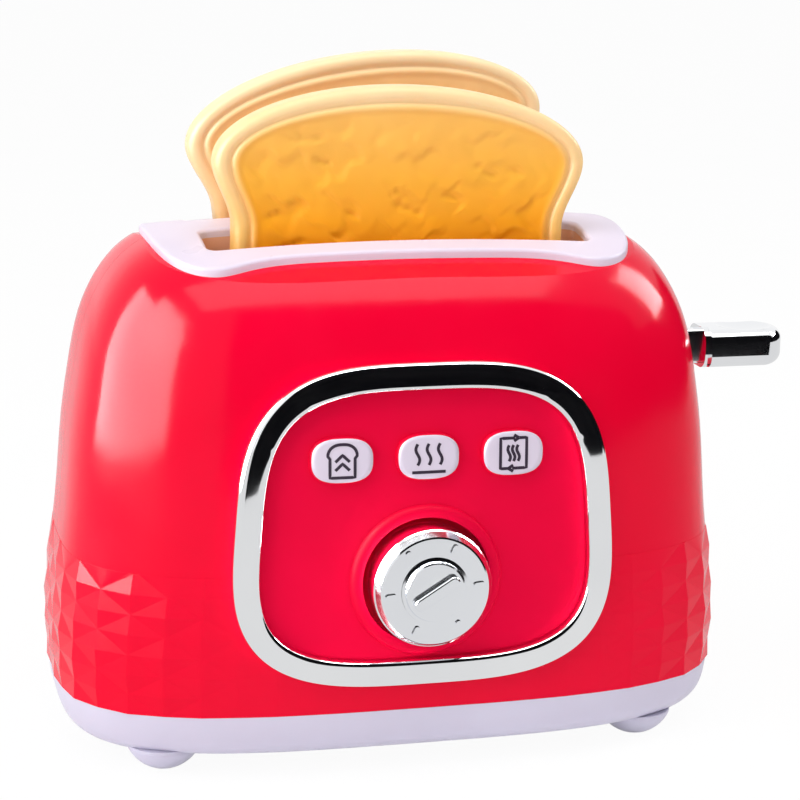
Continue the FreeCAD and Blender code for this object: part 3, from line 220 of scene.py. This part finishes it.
RED = surface("gloss_red", srgb(228, 0, 44), srgb(234, 0, 49), 0.14, specular=0.13,
              grain_strength=0.04, wave_strength=0.05)
PANEL_RED = surface("satin_red", srgb(226, 0, 54), srgb(236, 0, 60), 0.42, specular=0.05, grain=1500.0,
                    grain_depth=0.00004)
WHITE = surface("collar_white", srgb(220, 211, 228), srgb(226, 217, 234), 0.32, specular=0.15,
                grain_strength=0.08)
LILAC = surface("base_white", srgb(204, 200, 218), srgb(211, 208, 226), 0.36, specular=0.2,
                grain_strength=0.1)
CHROME = surface("bright_plate", (0.86, 0.87, 0.89, 1.0), (0.93, 0.94, 0.95, 1.0), 0.045, metal=1.0,
                 grain_strength=0.015, wave_strength=0.015)
KNOB_PLATE = surface("knob_plate", srgb(238, 240, 244), srgb(244, 246, 250), 0.11, metal=1.0,
                     grain_strength=0.02)
# Slot walls: their peach tint is painted light, the orange bounce from the bread.
BOUNCE_TINTED_WELL = surface("well_painted_bounce", srgb(224, 170, 138), srgb(232, 182, 150), 0.5, grain=700.0)
NYLON = surface("nylon", srgb(214, 212, 204), srgb(226, 224, 216), 0.45, grain=600.0)
STEEL = surface("drawn_steel", (0.42, 0.42, 0.44, 1.0), (0.60, 0.60, 0.62, 1.0), 0.28, metal=1.0,
                grain=1800.0)
PRINT_PALE = surface("pad_lilac", srgb(214, 203, 220), srgb(222, 212, 227), 0.4, grain=1600.0)
PRINT_DARK = surface("print_dark", srgb(38, 18, 46), srgb(52, 28, 60), 0.45, grain=1600.0)

# Nodes that aren't named here are nylon.
NODE_MATERIALS = {
    "front_shell": RED, "rear_shell": RED, "control_panel": PANEL_RED, "top_collar": WHITE, "base": LILAC,
    "bezel_ring": CHROME, "lever_knob": CHROME, "lever_arm": CHROME,
    "timer_knob": KNOB_PLATE, "knob_cap": KNOB_PLATE, "front_well": BOUNCE_TINTED_WELL, "rear_well": BOUNCE_TINTED_WELL,
    "timer_screws": STEEL, "bracket_screws": STEEL, "lever_screw": STEEL, "case_screws": STEEL,
    "guide_rod": STEEL, "steady_rod": STEEL, "return_spring": STEEL, "catch_pin": STEEL,
    "click_pawl": STEEL,
}


def paint(obj, material):
    obj.data.materials.clear()
    obj.data.materials.append(material)


# Meshes

RAY_START_Y = -0.3


def mesh_object(name, verts, faces, material, body, smooth=True):
    """New piece of the object: verts in the row frame, riding on a CAD body."""
    mesh = bpy.data.meshes.new(name)
    mesh.from_pydata([tuple(v) for v in verts], [], faces)
    mesh.validate()
    for polygon in mesh.polygons:
        polygon.use_smooth = smooth
    obj = bpy.data.objects.new(name, mesh)
    bpy.context.scene.collection.objects.link(obj)
    mesh.materials.append(material)
    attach(obj, body)
    return obj


def front_at(obj, x, z):
    """Where a line from the front at x and z meets a CAD node."""
    hit, point, _, _ = obj.ray_cast(Vector((x, RAY_START_Y, z)), Vector((0, 1, 0)))
    if not hit:
        raise ValueError("nothing in front at %.4f, %.4f" % (x, z))
    return point


def squared(value, power):
    """Cosine or sine of a circle turned into that of a squared oval."""
    return math.copysign(abs(value) ** (2 / power), value)


# Slices of bread

SLICE_HALF_WIDTH = 0.0483
SLICE_LOBE = 0.054
SLICE_HEIGHT = 0.104
SLICE_LOBE_Z = 0.0823
SLICE_NECK_Z = 0.064
SLICE_FOOT_ROUND = 0.009
SLICE_AROUND = 300
FACE_RINGS = 46
FOOT_STEPS = 12
WAIST_STEPS = 24
DOME_STEPS = 40

# Inset from the outline and height above the slice's middle in millimetres, from the edge to the face
CRUST_PROFILE = (
    (0.0, 0.0), (0.0, 1.7), (0.05, 3.2), (0.35, 4.1), (0.9, 4.75), (1.6, 5.1), (2.4, 5.2), (3.1, 5.12),
    (3.6, 4.85), (4.0, 4.45), (4.4, 4.25), (4.8, 4.4), (5.2, 4.8), (5.7, 5.1), (6.2, 5.15), (6.8, 5.0),
    (7.4, 4.75),
)
# Painted crust highlight: gone from this inset inwards, fading in over the width below.
CRUST_END = 0.0070
CRUST_FADE = 0.0030
FACE_LEVEL = 0.0046
FACE_FADE_RINGS = 4

# Chiselled face: tilted flats, bounded by warped cell edges, and narrow gouges
CHISEL_CELL = 0.0085
CHISEL_DEPTH = 0.0006
CELL_FLATTEN = 1.6
CELL_BLEND = 0.0014
WARP = 0.0012
WARP_RATE_X = 800
WARP_RATE_Z = 900
GOUGES = 34
GOUGE_DEPTH = 0.0009
GOUGE_STEEP_SIDE = 0.35


def slice_path(inset):
    """Dense outline of a slice, set in by inset, from the middle of its foot round to the right."""
    w, lobe, floor = SLICE_HALF_WIDTH - inset, SLICE_LOBE - inset, inset
    r = max(SLICE_FOOT_ROUND - inset, 0.001)
    dome = SLICE_HEIGHT - inset - SLICE_LOBE_Z
    right = [(0.0, floor)]
    for i in range(FOOT_STEPS + 1):
        angle = math.pi / 2 * i / FOOT_STEPS
        right.append((w - r + r * math.sin(angle), floor + r - r * math.cos(angle)))
    for i in range(WAIST_STEPS + 1):
        share = i / WAIST_STEPS
        bend = share * share * (3 - 2 * share)
        right.append((w + (lobe - w) * bend, SLICE_NECK_Z + (SLICE_LOBE_Z - SLICE_NECK_Z) * share))
    for i in range(1, DOME_STEPS):
        angle = math.pi / 2 * i / DOME_STEPS
        right.append((lobe * math.cos(angle), SLICE_LOBE_Z + dome * math.sin(angle)))
    return right + [(0.0, SLICE_LOBE_Z + dome)] + [(-x, z) for x, z in reversed(right[1:])]


def evenly(path, count):
    """Closed path resampled to count points at equal steps."""
    closed = path + [path[0]]
    length = [0.0]
    for p, q in zip(closed, closed[1:]):
        length.append(length[-1] + math.dist(p, q))
    result = []
    at = 0
    for i in range(count):
        want = length[-1] * i / count
        while length[at + 1] < want:
            at += 1
        share = (want - length[at]) / max(length[at + 1] - length[at], 1e-12)
        p, q = closed[at], closed[at + 1]
        result.append((p[0] + (q[0] - p[0]) * share, p[1] + (q[1] - p[1]) * share))
    return result


def chisel_field(seed):
    """Shallow tilted flats and gouges, as cut in the face of the toy bread."""
    rng = random.Random(seed)
    cells = []
    columns = int(2 * SLICE_LOBE / CHISEL_CELL) + 2
    rows = int(SLICE_HEIGHT / CHISEL_CELL) + 2
    for i in range(columns):
        for j in range(rows):
            x = -SLICE_LOBE + (i + rng.uniform(-0.2, 1.2)) * CHISEL_CELL
            z = (j + rng.uniform(-0.2, 1.2)) * CHISEL_CELL
            steep = rng.choice((0.2, 0.6, 1.0, 1.0))
            turn = rng.uniform(0, 2 * math.pi)
            lift = rng.uniform(-0.5, 0.5)
            cells.append((x, z, steep * math.cos(turn), steep * math.sin(turn), lift))
    gouges = []
    for _ in range(GOUGES):
        x, z = rng.uniform(-0.85, 0.85) * SLICE_LOBE, rng.uniform(0.05, 0.9) * SLICE_HEIGHT
        turn = rng.uniform(-0.7, 0.7)
        gouges.append((x, z, math.cos(turn), math.sin(turn), rng.uniform(0.0022, 0.0055),
                       rng.uniform(0.0008, 0.0018)))

    def gouge_depth(x, z):
        deepest = 0.0
        for gx, gz, c, d, reach, width in gouges:
            dx, dz = x - gx, z - gz
            along, across = abs(dx * c + dz * d), (dz * c - dx * d)
            steep_width = GOUGE_STEEP_SIDE * width
            if along < reach and -width < across < steep_width:
                side = 1 + across / width if across < 0 else 1 - across / steep_width
                deepest = max(deepest, side * min(1.0, 3 * (1 - along / reach)))
        return GOUGE_DEPTH * deepest

    def height(x, z):
        warp_x = x + WARP * math.sin(z * WARP_RATE_Z + seed)
        warp_z = z + WARP * math.sin(x * WARP_RATE_X + seed)
        best = second = (1e9, 0.0)
        for cx, cz, gx, gz, lift in cells:
            dx, dz = warp_x - cx, warp_z - cz
            d = dx * dx + CELL_FLATTEN * dz * dz
            if d < second[0]:
                value = (gx * dx + gz * dz) / CHISEL_CELL + lift
                if d < best[0]:
                    best, second = (d, value), best
                else:
                    second = (d, value)
        gap = math.sqrt(second[0]) - math.sqrt(best[0])
        share = min(gap / CELL_BLEND, 1.0) * 0.5 + 0.5
        return CHISEL_DEPTH * (best[1] * share + second[1] * (1 - share)) - gouge_depth(x, z)

    return height


def bread(name, replaced, body, tilt, seed, pale_shift):
    """Slice with a rounded crust, a groove, a raised bead and a chiselled face on both sides."""
    verts = []
    crust = []
    faces = []
    edge = None
    centre_z = SLICE_HEIGHT * 0.5
    loops = [(inset / 1000, rise / 1000) for inset, rise in CRUST_PROFILE]
    inner = evenly(slice_path(loops[-1][0]), SLICE_AROUND)

    for side in (-1, 1):
        height = chisel_field(seed + side)
        rings = []
        for inset, rise in loops:
            if rise == 0.0 and edge:
                rings.append(edge)
                continue
            ring = []
            for x, z in evenly(slice_path(inset), SLICE_AROUND):
                ring.append(len(verts))
                verts.append((x, side * rise, z))
                # Share of the painted crust highlight: whole near the outline, none from an inset of
                # CRUST_END inwards.
                crust.append(min(max((CRUST_END - inset) / CRUST_FADE, 0.0), 1.0))
            rings.append(ring)
        edge = rings[0]

        for k in range(1, FACE_RINGS):
            share = 1 - k / FACE_RINGS
            fade = min(k / FACE_FADE_RINGS, 1.0)
            level = loops[-1][1] + (FACE_LEVEL - loops[-1][1]) * fade
            ring = []
            for x, z in inner:
                px, pz = x * share, centre_z + (z - centre_z) * share
                ring.append(len(verts))
                verts.append((px, side * (level + fade * height(px, pz)), pz))
                crust.append(0.0)
            rings.append(ring)
        middle = len(verts)
        verts.append((0.0, side * (FACE_LEVEL + height(0.0, centre_z)), centre_z))
        crust.append(0.0)

        for a, b in zip(rings, rings[1:]):
            for i in range(SLICE_AROUND):
                j = (i + 1) % SLICE_AROUND
                faces.append((a[i], a[j], b[j], b[i]) if side < 0 else (a[j], a[i], b[i], b[j]))
        last = rings[-1]
        for i in range(SLICE_AROUND):
            j = (i + 1) % SLICE_AROUND
            faces.append((last[i], last[j], middle) if side < 0 else (last[j], last[i], middle))

    low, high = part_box(replaced)
    turn = Matrix.Rotation(math.radians(tilt), 3, "Y")
    turned = [turn @ Vector(v) for v in verts]
    dx = (low[0] + high[0]) / 2 - (min(v.x for v in turned) + max(v.x for v in turned)) / 2
    dz = low[2] - min(v.z for v in turned)
    move = Vector((dx, (low[1] + high[1]) / 2, dz))
    plastic = bread_material(name + "_plastic", low[2], high[2], pale_shift)
    obj = mesh_object(name, [v + move for v in turned], faces, plastic, body)
    # The crust attribute carries the share of the painted crust highlight to the material.
    shares = obj.data.attributes.new("crust", "FLOAT", "POINT")
    shares.data.foreach_set("value", crust)
    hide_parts(replaced)


# Bright ring round the panel

RING_CENTRE_Z = 0.0740
RING_HALF_HEIGHT = 0.0462
RING_HALF_TOP = 0.0510
RING_HALF_BOTTOM = 0.0574
RING_POWER = 3.4
RING_BAND = 0.0076
RING_AROUND = 360
RING_SAMPLES = 720
CREST_SMOOTHING = 4
NORMAL_REACH = 2

# The body behind the ring, as in the CAD model
PLAN_POWER = 3.3
BODY_HALF_WIDTH = 0.0996
BODY_HALF_DEPTH = 0.0598
SHELL_BOTTOM = 0.0200
BODY_TOP = 0.1502
WIDTH_DRAFT = ((0.0, 0.006), (0.12, 0.0), (0.28, 0.020), (0.46, 0.045), (0.60, 0.064), (0.70, 0.085),
               (0.78, 0.107), (0.86, 0.148), (1.0, 0.40))
DEPTH_DRAFT = ((0.0, 0.022), (0.12, 0.004), (0.28, 0.0), (0.46, 0.004), (0.60, 0.013), (0.70, 0.030),
               (0.78, 0.062), (0.86, 0.132), (1.0, 0.60))

# Flat-faced section of the ring: share of the half band, and depth below the crest in millimetres
RING_SECTION = (
    (1.0, 2.55), (1.0, 1.7), (0.985, 1.15), (0.945, 0.72), (0.88, 0.40), (0.78, 0.19), (0.62, 0.07),
    (0.35, 0.01), (0.0, 0.0), (-0.35, 0.01), (-0.62, 0.06), (-0.78, 0.17), (-0.88, 0.38), (-0.945, 0.70),
    (-0.985, 1.15), (-1.0, 1.7), (-1.0, 3.3), (-0.9, 3.4), (0.9, 2.65),
)


def lost(table, share):
    """Share of the body's width or depth lost at a share of its height."""
    for (s0, v0), (s1, v1) in zip(table, table[1:]):
        if share <= s1:
            return v0 + (v1 - v0) * (share - s0) / (s1 - s0)
    return table[-1][1]


def skin_y(x, z):
    """Front of the smooth body, about its own middle."""
    share = (z - SHELL_BOTTOM) / (BODY_TOP - SHELL_BOTTOM)
    half_width = BODY_HALF_WIDTH * (1 - lost(WIDTH_DRAFT, share))
    half_depth = BODY_HALF_DEPTH * (1 - lost(DEPTH_DRAFT, share))
    return -half_depth * (1 - abs(x / half_width) ** PLAN_POWER) ** (1 / PLAN_POWER)


def ring_path():
    """Middle line of the ring, wider at the bottom than at the top."""
    mean, taper = (RING_HALF_TOP + RING_HALF_BOTTOM) / 2, (RING_HALF_TOP - RING_HALF_BOTTOM) / 2
    inset = RING_BAND / 2
    path = []
    for i in range(RING_SAMPLES):
        angle = 2 * math.pi * i / RING_SAMPLES
        u = squared(math.cos(angle), RING_POWER)
        w = squared(math.sin(angle), RING_POWER)
        path.append(((mean + taper * w - inset) * u, RING_CENTRE_Z + (RING_HALF_HEIGHT - inset) * w))
    return evenly(path, RING_AROUND)


def bright_ring():
    """Plated ring whose flat face leans with the body behind it."""
    path = ring_path()
    count = len(path)
    crest = [front_at(nodes["bezel_ring"], MID_X + x, z).y for x, z in path]
    near = range(-CREST_SMOOTHING, CREST_SMOOTHING + 1)
    crest = [sum(crest[(i + k) % count] for k in near) / len(near) for i in range(count)]
    verts = []
    for i, (x, z) in enumerate(path):
        before, after = path[i - NORMAL_REACH], path[(i + NORMAL_REACH) % count]
        dx, dz = after[0] - before[0], after[1] - before[1]
        size = math.hypot(dx, dz)
        out_x, out_z = dz / size, -dx / size
        for share, depth in RING_SECTION:
            px, pz = x + out_x * share * RING_BAND / 2, z + out_z * share * RING_BAND / 2
            lean = skin_y(px, pz) - skin_y(x, z)
            verts.append((MID_X + px, crest[i] + lean + depth / 1000, pz))
    n = len(RING_SECTION)
    faces = []
    for i in range(count):
        j = (i + 1) % count
        for k in range(n):
            m = (k + 1) % n
            faces.append((i * n + k, i * n + m, j * n + m, j * n + k))
    obj = mesh_object("bright_ring", verts, faces, CHROME, "housing")
    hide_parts("bezel_ring")


# Pads and their printed marks

MM = 0.001
PAD_PRINT_RISE = 0.12 * MM
PAD_PRINT_EDGE = 0.3 * MM
PAD_PRINT_CLEAR = 0.02 * MM
PAD_AROUND = 64
PAD_RINGS = 6
PAD_POWER = 2.7
MARK_RISE = 0.10 * MM
MARK_CLEAR = 0.01 * MM
STROKE = 0.84 * MM
WAVE_STEPS = 20
ARCH_STEPS = 14


def pad_print(index, x):
    """Thin pale printed field on a raised pad."""
    panel = nodes["control_panel"]
    half_length = PAD_LENGTH / 2 - PAD_PRINT_EDGE
    half_height = PAD_HEIGHT / 2 - PAD_PRINT_EDGE
    verts = []
    faces = []
    for k in range(PAD_RINGS + 1):
        rise = PAD_PRINT_CLEAR + (PAD_PRINT_RISE if k else 0.0)
        share = 1 - max(k - 1, 0) / PAD_RINGS
        for i in range(PAD_AROUND):
            angle = 2 * math.pi * i / PAD_AROUND
            px = x + half_length * share * squared(math.cos(angle), PAD_POWER)
            pz = PAD_Z + half_height * share * squared(math.sin(angle), PAD_POWER)
            verts.append(front_at(panel, px, pz) - Vector((0, rise, 0)))
    for k in range(PAD_RINGS):
        for i in range(PAD_AROUND):
            j = (i + 1) % PAD_AROUND
            a, b = k * PAD_AROUND, (k + 1) * PAD_AROUND
            faces.append((a + i, b + i, b + j, a + j))
    verts.append(front_at(panel, x, PAD_Z) - Vector((0, PAD_PRINT_CLEAR + PAD_PRINT_RISE, 0)))
    inner = PAD_RINGS * PAD_AROUND
    for i in range(PAD_AROUND):
        faces.append((inner + i, len(verts) - 1, inner + (i + 1) % PAD_AROUND))
    obj = mesh_object("pad_print_%d" % index, verts, faces, PRINT_PALE, "housing")


def ribbon(path, width, closed=False):
    """Left and right edges of a stroke of the given width along a path of (x, z) points."""
    count = len(path)
    left, right = [], []
    for i, (x, z) in enumerate(path):
        before = path[i - 1] if closed or i else path[i]
        after = path[(i + 1) % count] if closed or i < count - 1 else path[i]
        dx, dz = after[0] - before[0], after[1] - before[1]
        size = math.hypot(dx, dz) or 1.0
        nx, nz = -dz / size * width / 2, dx / size * width / 2
        left.append((x + nx, z + nz))
        right.append((x - nx, z - nz))
    return left, right


def printed_mark(name, strokes, width):
    """Raised ink strokes on the panel, one object; each stroke is (path, closed)."""
    panel = nodes["control_panel"]
    verts = []
    faces = []
    for path, closed in strokes:
        left, right = ribbon(path, width, closed)
        start = len(verts)
        for edge in (left, right):
            for rise in (0.0, MARK_RISE):
                for x, z in edge:
                    proud = PAD_PRINT_RISE + MARK_CLEAR + rise
                    verts.append(front_at(panel, x, z) - Vector((0, proud, 0)))
        n = len(path)
        steps = n if closed else n - 1
        for i in range(steps):
            j = (i + 1) % n
            lb, lt, rb, rt = (start + k * n for k in range(4))
            faces.append((lt + i, lt + j, rt + j, rt + i))
            faces.append((lb + i, lb + j, lt + j, lt + i))
            faces.append((rt + i, rt + j, rb + j, rb + i))
    obj = mesh_object(name, verts, faces, PRINT_DARK, "housing", smooth=False)


def line(*points, steps=6):
    """Polyline with extra points along each side, so that it can follow the curved panel."""
    path = []
    for (x0, z0), (x1, z1) in zip(points, points[1:]):
        for i in range(steps):
            path.append((x0 + (x1 - x0) * i / steps, z0 + (z1 - z0) * i / steps))
    path.append(points[-1])
    return path


def wave(x, z0, z1, swing):
    """One full wave that rises from z0 to z1."""
    return [(x + swing * math.sin(2 * math.pi * i / WAVE_STEPS), z0 + (z1 - z0) * i / WAVE_STEPS)
            for i in range(WAVE_STEPS + 1)]


def slice_mark(x, z):
    """Outline of a slice with two chevrons: bread up."""
    foot, lobe = 3.5 * MM, 4.1 * MM
    right = line((x, z - 4.7 * MM), (x + foot, z - 4.7 * MM), (x + foot, z + 0.6 * MM))
    right.append((x + lobe, z + 1.4 * MM))
    for i in range(1, ARCH_STEPS):
        angle = math.pi / 2 * i / ARCH_STEPS
        right.append((x + lobe * math.cos(angle) ** 0.8, z + 1.4 * MM + 3.2 * MM * math.sin(angle)))
    left = [(2 * x - px, pz) for px, pz in reversed(right[1:])]
    strokes = [(right + [(x, z + 4.6 * MM)] + left, True)]
    for dz in (-2.7, -0.3):
        strokes.append((line((x - 2.0 * MM, z + dz * MM), (x, z + (dz + 1.9) * MM),
                             (x + 2.0 * MM, z + dz * MM)), False))
    return strokes


def heat_mark(x, z):
    """Three rising waves over a line: keep warm."""
    strokes = [(wave(x + dx * MM, z - 2.2 * MM, z + 3.8 * MM, 0.55 * MM), False)
               for dx in (-3.2, 0.0, 3.2)]
    strokes.append((line((x - 4.8 * MM, z - 4.2 * MM), (x + 4.8 * MM, z - 4.2 * MM), steps=12), False))
    return strokes


def thaw_mark(x, z):
    """Waves in a frame with two turning arrows: warm through."""
    w, h = 3.8 * MM, 4.3 * MM
    strokes = [(wave(x + dx * MM, z - 2.3 * MM, z + 2.3 * MM, 0.4 * MM), False)
               for dx in (-1.3, 0.0, 1.3)]
    left = ((x + 0.4 * MM, z + h), (x - w, z + h), (x - w, z - h), (x - 1.0 * MM, z - h))
    right = ((x - 0.4 * MM, z - h), (x + w, z - h), (x + w, z + h), (x + 1.6 * MM, z + h))
    strokes += [(line(*left), False), (line(*right), False)]
    for sign in (-1, 1):
        tip = (x + sign * 1.5 * MM, z + sign * h)
        for lift in (-0.9, 0.9):
            strokes.append((line((tip[0] - sign * 1.4 * MM, tip[1] + lift * MM), tip, steps=3), False))
    return strokes


# Build

for name, obj in nodes.items():
    paint(obj, NODE_MATERIALS.get(name, NYLON))
    for polygon in obj.data.polygons:
        polygon.use_smooth = True

bright_ring()
bread("front_bread_slice", "front_slice", "front_bread", 1.0, 11, 0.0)
bread("rear_bread_slice", "rear_slice", "rear_bread", -6.4, 29, 0.35)

PADS = ((-PAD_SPACING, slice_mark), (0.0, heat_mark), (PAD_SPACING, thaw_mark))
for index, (offset, mark) in enumerate(PADS):
    pad_print(index, MID_X + offset)
    printed_mark("pad_mark_%d" % index, mark(MID_X + offset, PAD_Z), STROKE)


# Studio

FLOOR = 6
WORLD_LIGHT = 0.52
SEEN_FLOOR = 0.95
MIRRORED_FLOOR = 0.78


def stage_plane(name, corners, material):
    mesh = bpy.data.meshes.new(name)
    mesh.from_pydata(corners, [], [(0, 1, 2, 3)])
    obj = bpy.data.objects.new(name, mesh)
    bpy.context.scene.collection.objects.link(obj)
    mesh.materials.append(material)
    return obj


def floor_material():
    """Pale matt floor: near white to the camera, where it still takes the shadow, and pale to mirrors."""
    material = surface("studio_floor", srgb(244, 244, 246), srgb(250, 250, 251), 0.8, specular=0.1,
                       grain=200.0)
    tree = material.node_tree
    out = tree.nodes["Material Output"]
    last = tree.nodes["Principled BSDF"].outputs["BSDF"]
    path = node(tree, "ShaderNodeLightPath")
    for ray, level, share in (("Is Glossy Ray", MIRRORED_FLOOR, 1.0),
                              ("Is Camera Ray", 1.0, SEEN_FLOOR)):
        glow = node(tree, "ShaderNodeEmission")
        glow.inputs["Color"].default_value = (level, level, level, 1.0)
        part = node(tree, "ShaderNodeMath", operation="MULTIPLY")
        tree.links.new(path.outputs[ray], part.inputs[0])
        part.inputs[1].default_value = share
        mix = node(tree, "ShaderNodeMixShader")
        tree.links.new(part.outputs[0], mix.inputs["Fac"])
        tree.links.new(last, mix.inputs[1])
        tree.links.new(glow.outputs["Emission"], mix.inputs[2])
        last = mix.outputs["Shader"]
    tree.links.new(last, out.inputs["Surface"])
    return material


def glow_material(name, level):
    """Softbox face for reflections."""
    material = bpy.data.materials.new(name)
    material.use_nodes = True
    tree = material.node_tree
    glow = node(tree, "ShaderNodeEmission")
    glow.inputs["Color"].default_value = (1.0, 1.0, 1.0, 1.0)
    glow.inputs["Strength"].default_value = level
    tree.links.new(glow.outputs["Emission"], tree.nodes["Material Output"].inputs["Surface"])
    return material


def flag_material():
    """Black card, for the dark reflections in the plated pieces."""
    return surface("black_flag", (0.004, 0.004, 0.005, 1.0), (0.008, 0.008, 0.009, 1.0), 0.9,
                   specular=0.0)


def world():
    """White to the camera, mirrors and glass; a soft even light to everything else."""
    made = bpy.data.worlds.new("studio")
    made.use_nodes = True
    tree = made.node_tree
    background = tree.nodes["Background"]
    path = node(tree, "ShaderNodeLightPath")
    seen = path.outputs["Is Camera Ray"]
    for ray in ("Is Glossy Ray", "Is Transmission Ray"):
        either = node(tree, "ShaderNodeMath", operation="MAXIMUM")
        tree.links.new(seen, either.inputs[0])
        tree.links.new(path.outputs[ray], either.inputs[1])
        seen = either.outputs[0]
    strength = node(tree, "ShaderNodeMapRange")
    strength.inputs["To Min"].default_value = WORLD_LIGHT
    strength.inputs["To Max"].default_value = 1.0
    tree.links.new(seen, strength.inputs["Value"])
    background.inputs["Color"].default_value = (1.0, 1.0, 1.0, 1.0)
    tree.links.new(strength.outputs["Result"], background.inputs["Strength"])
    bpy.context.scene.world = made


def lamp(name, place, target, size, power):
    data = bpy.data.lights.new(name, "AREA")
    data.shape = "RECTANGLE"
    data.size, data.size_y = size
    data.energy = power
    obj = bpy.data.objects.new(name, data)
    bpy.context.scene.collection.objects.link(obj)
    obj.location = place
    obj.rotation_euler = (Vector(target) - Vector(place)).to_track_quat("-Z", "Y").to_euler()
    return obj


world()
stage_plane("floor", [(-FLOOR, -FLOOR, 0), (FLOOR, -FLOOR, 0), (FLOOR, FLOOR, 0), (-FLOOR, FLOOR, 0)],
            floor_material())
black = flag_material()

# Cards and softbox faces that only reflections show
REFLECTED = (
    ("front_flag", black, [(-0.2, -0.46, 0.0), (1.0, -0.46, 0.0), (1.0, -0.46, 0.75), (-0.2, -0.46, 0.75)]),
    ("right_flag", black, [(1.0, -0.46, 0.0), (1.0, 0.9, 0.0), (1.0, 0.9, 0.5), (1.0, -0.46, 0.5)]),
    ("left_glow", glow_material("left_glow", 19.0),
     [(-0.95, -0.9, 0.0), (-0.95, 0.5, 0.0), (-0.95, 0.5, 1.0), (-0.95, -0.9, 1.0)]),
    ("left_window", glow_material("left_window", 19.0),
     [(-0.9, -0.75, 0.42), (-0.9, -0.05, 0.42), (-0.9, -0.05, 1.2), (-0.9, -0.75, 1.2)]),
    ("top_glow", glow_material("top_glow", 5.5),
     [(-0.7, -0.8, 1.45), (0.7, -0.8, 1.45), (0.7, -0.1, 1.45), (-0.7, -0.1, 1.45)]),
    ("right_window", glow_material("right_window", 19.0),
     [(0.98, -0.1, 0.45), (0.98, 0.3, 0.45), (0.92, 0.3, 1.05), (0.92, -0.1, 1.05)]),
)
for name, material, corners in REFLECTED:
    sheet = stage_plane(name, corners, material)
    for attribute in ("visible_camera", "visible_diffuse", "visible_shadow", "visible_transmission"):
        setattr(sheet, attribute, False)

# Softboxes: place, width and height, watts
AIM = (0.0, 0.0, 0.09)
SOFTBOXES = (
    ("left_box", (-1.1, -0.4, 0.75), (0.7, 1.0), 9.0),
    ("top_box", (0.0, -0.45, 1.5), (1.4, 0.7), 9.5),
    ("right_box", (0.95, 0.1, 0.75), (0.35, 0.5), 2.0),
)
for name, place, size, power in SOFTBOXES:
    lamp(name, place, AIM, size, power).visible_glossy = False


# Camera: the photograph's viewing angle, in metres and degrees

CAMERA_PLACE = (-0.1611, -0.6804, 0.2572)
CAMERA_AZIMUTH = 13.82
CAMERA_DROP = 12.95
CAMERA_ROLL = 0.79
FOCAL_PIXELS = 2393.0
IMAGE_PIXELS = 800.0
SENSOR = 36.0

azimuth, drop, roll = (math.radians(v) for v in (CAMERA_AZIMUTH, CAMERA_DROP, CAMERA_ROLL))
forward = Vector((math.sin(azimuth) * math.cos(drop), math.cos(azimuth) * math.cos(drop),
                  -math.sin(drop)))
right = Vector((math.cos(azimuth), -math.sin(azimuth), 0.0))
up = right.cross(forward)
right, up = (math.cos(roll) * right + math.sin(roll) * up,
             math.cos(roll) * up - math.sin(roll) * right)
camera_data = bpy.data.cameras.new("camera")
camera_data.sensor_width = SENSOR
camera_data.lens = FOCAL_PIXELS * SENSOR / IMAGE_PIXELS
camera = bpy.data.objects.new("camera", camera_data)
bpy.context.scene.collection.objects.link(camera)
turn = Matrix((right, up, -forward)).transposed().to_4x4()
camera.matrix_world = Matrix.Translation(Vector(CAMERA_PLACE) + Vector((MID_X, MID_Y, 0.0))) @ turn
bpy.context.scene.camera = camera
bpy.context.scene.view_settings.view_transform = "Standard"

bpy.context.view_layer.update()
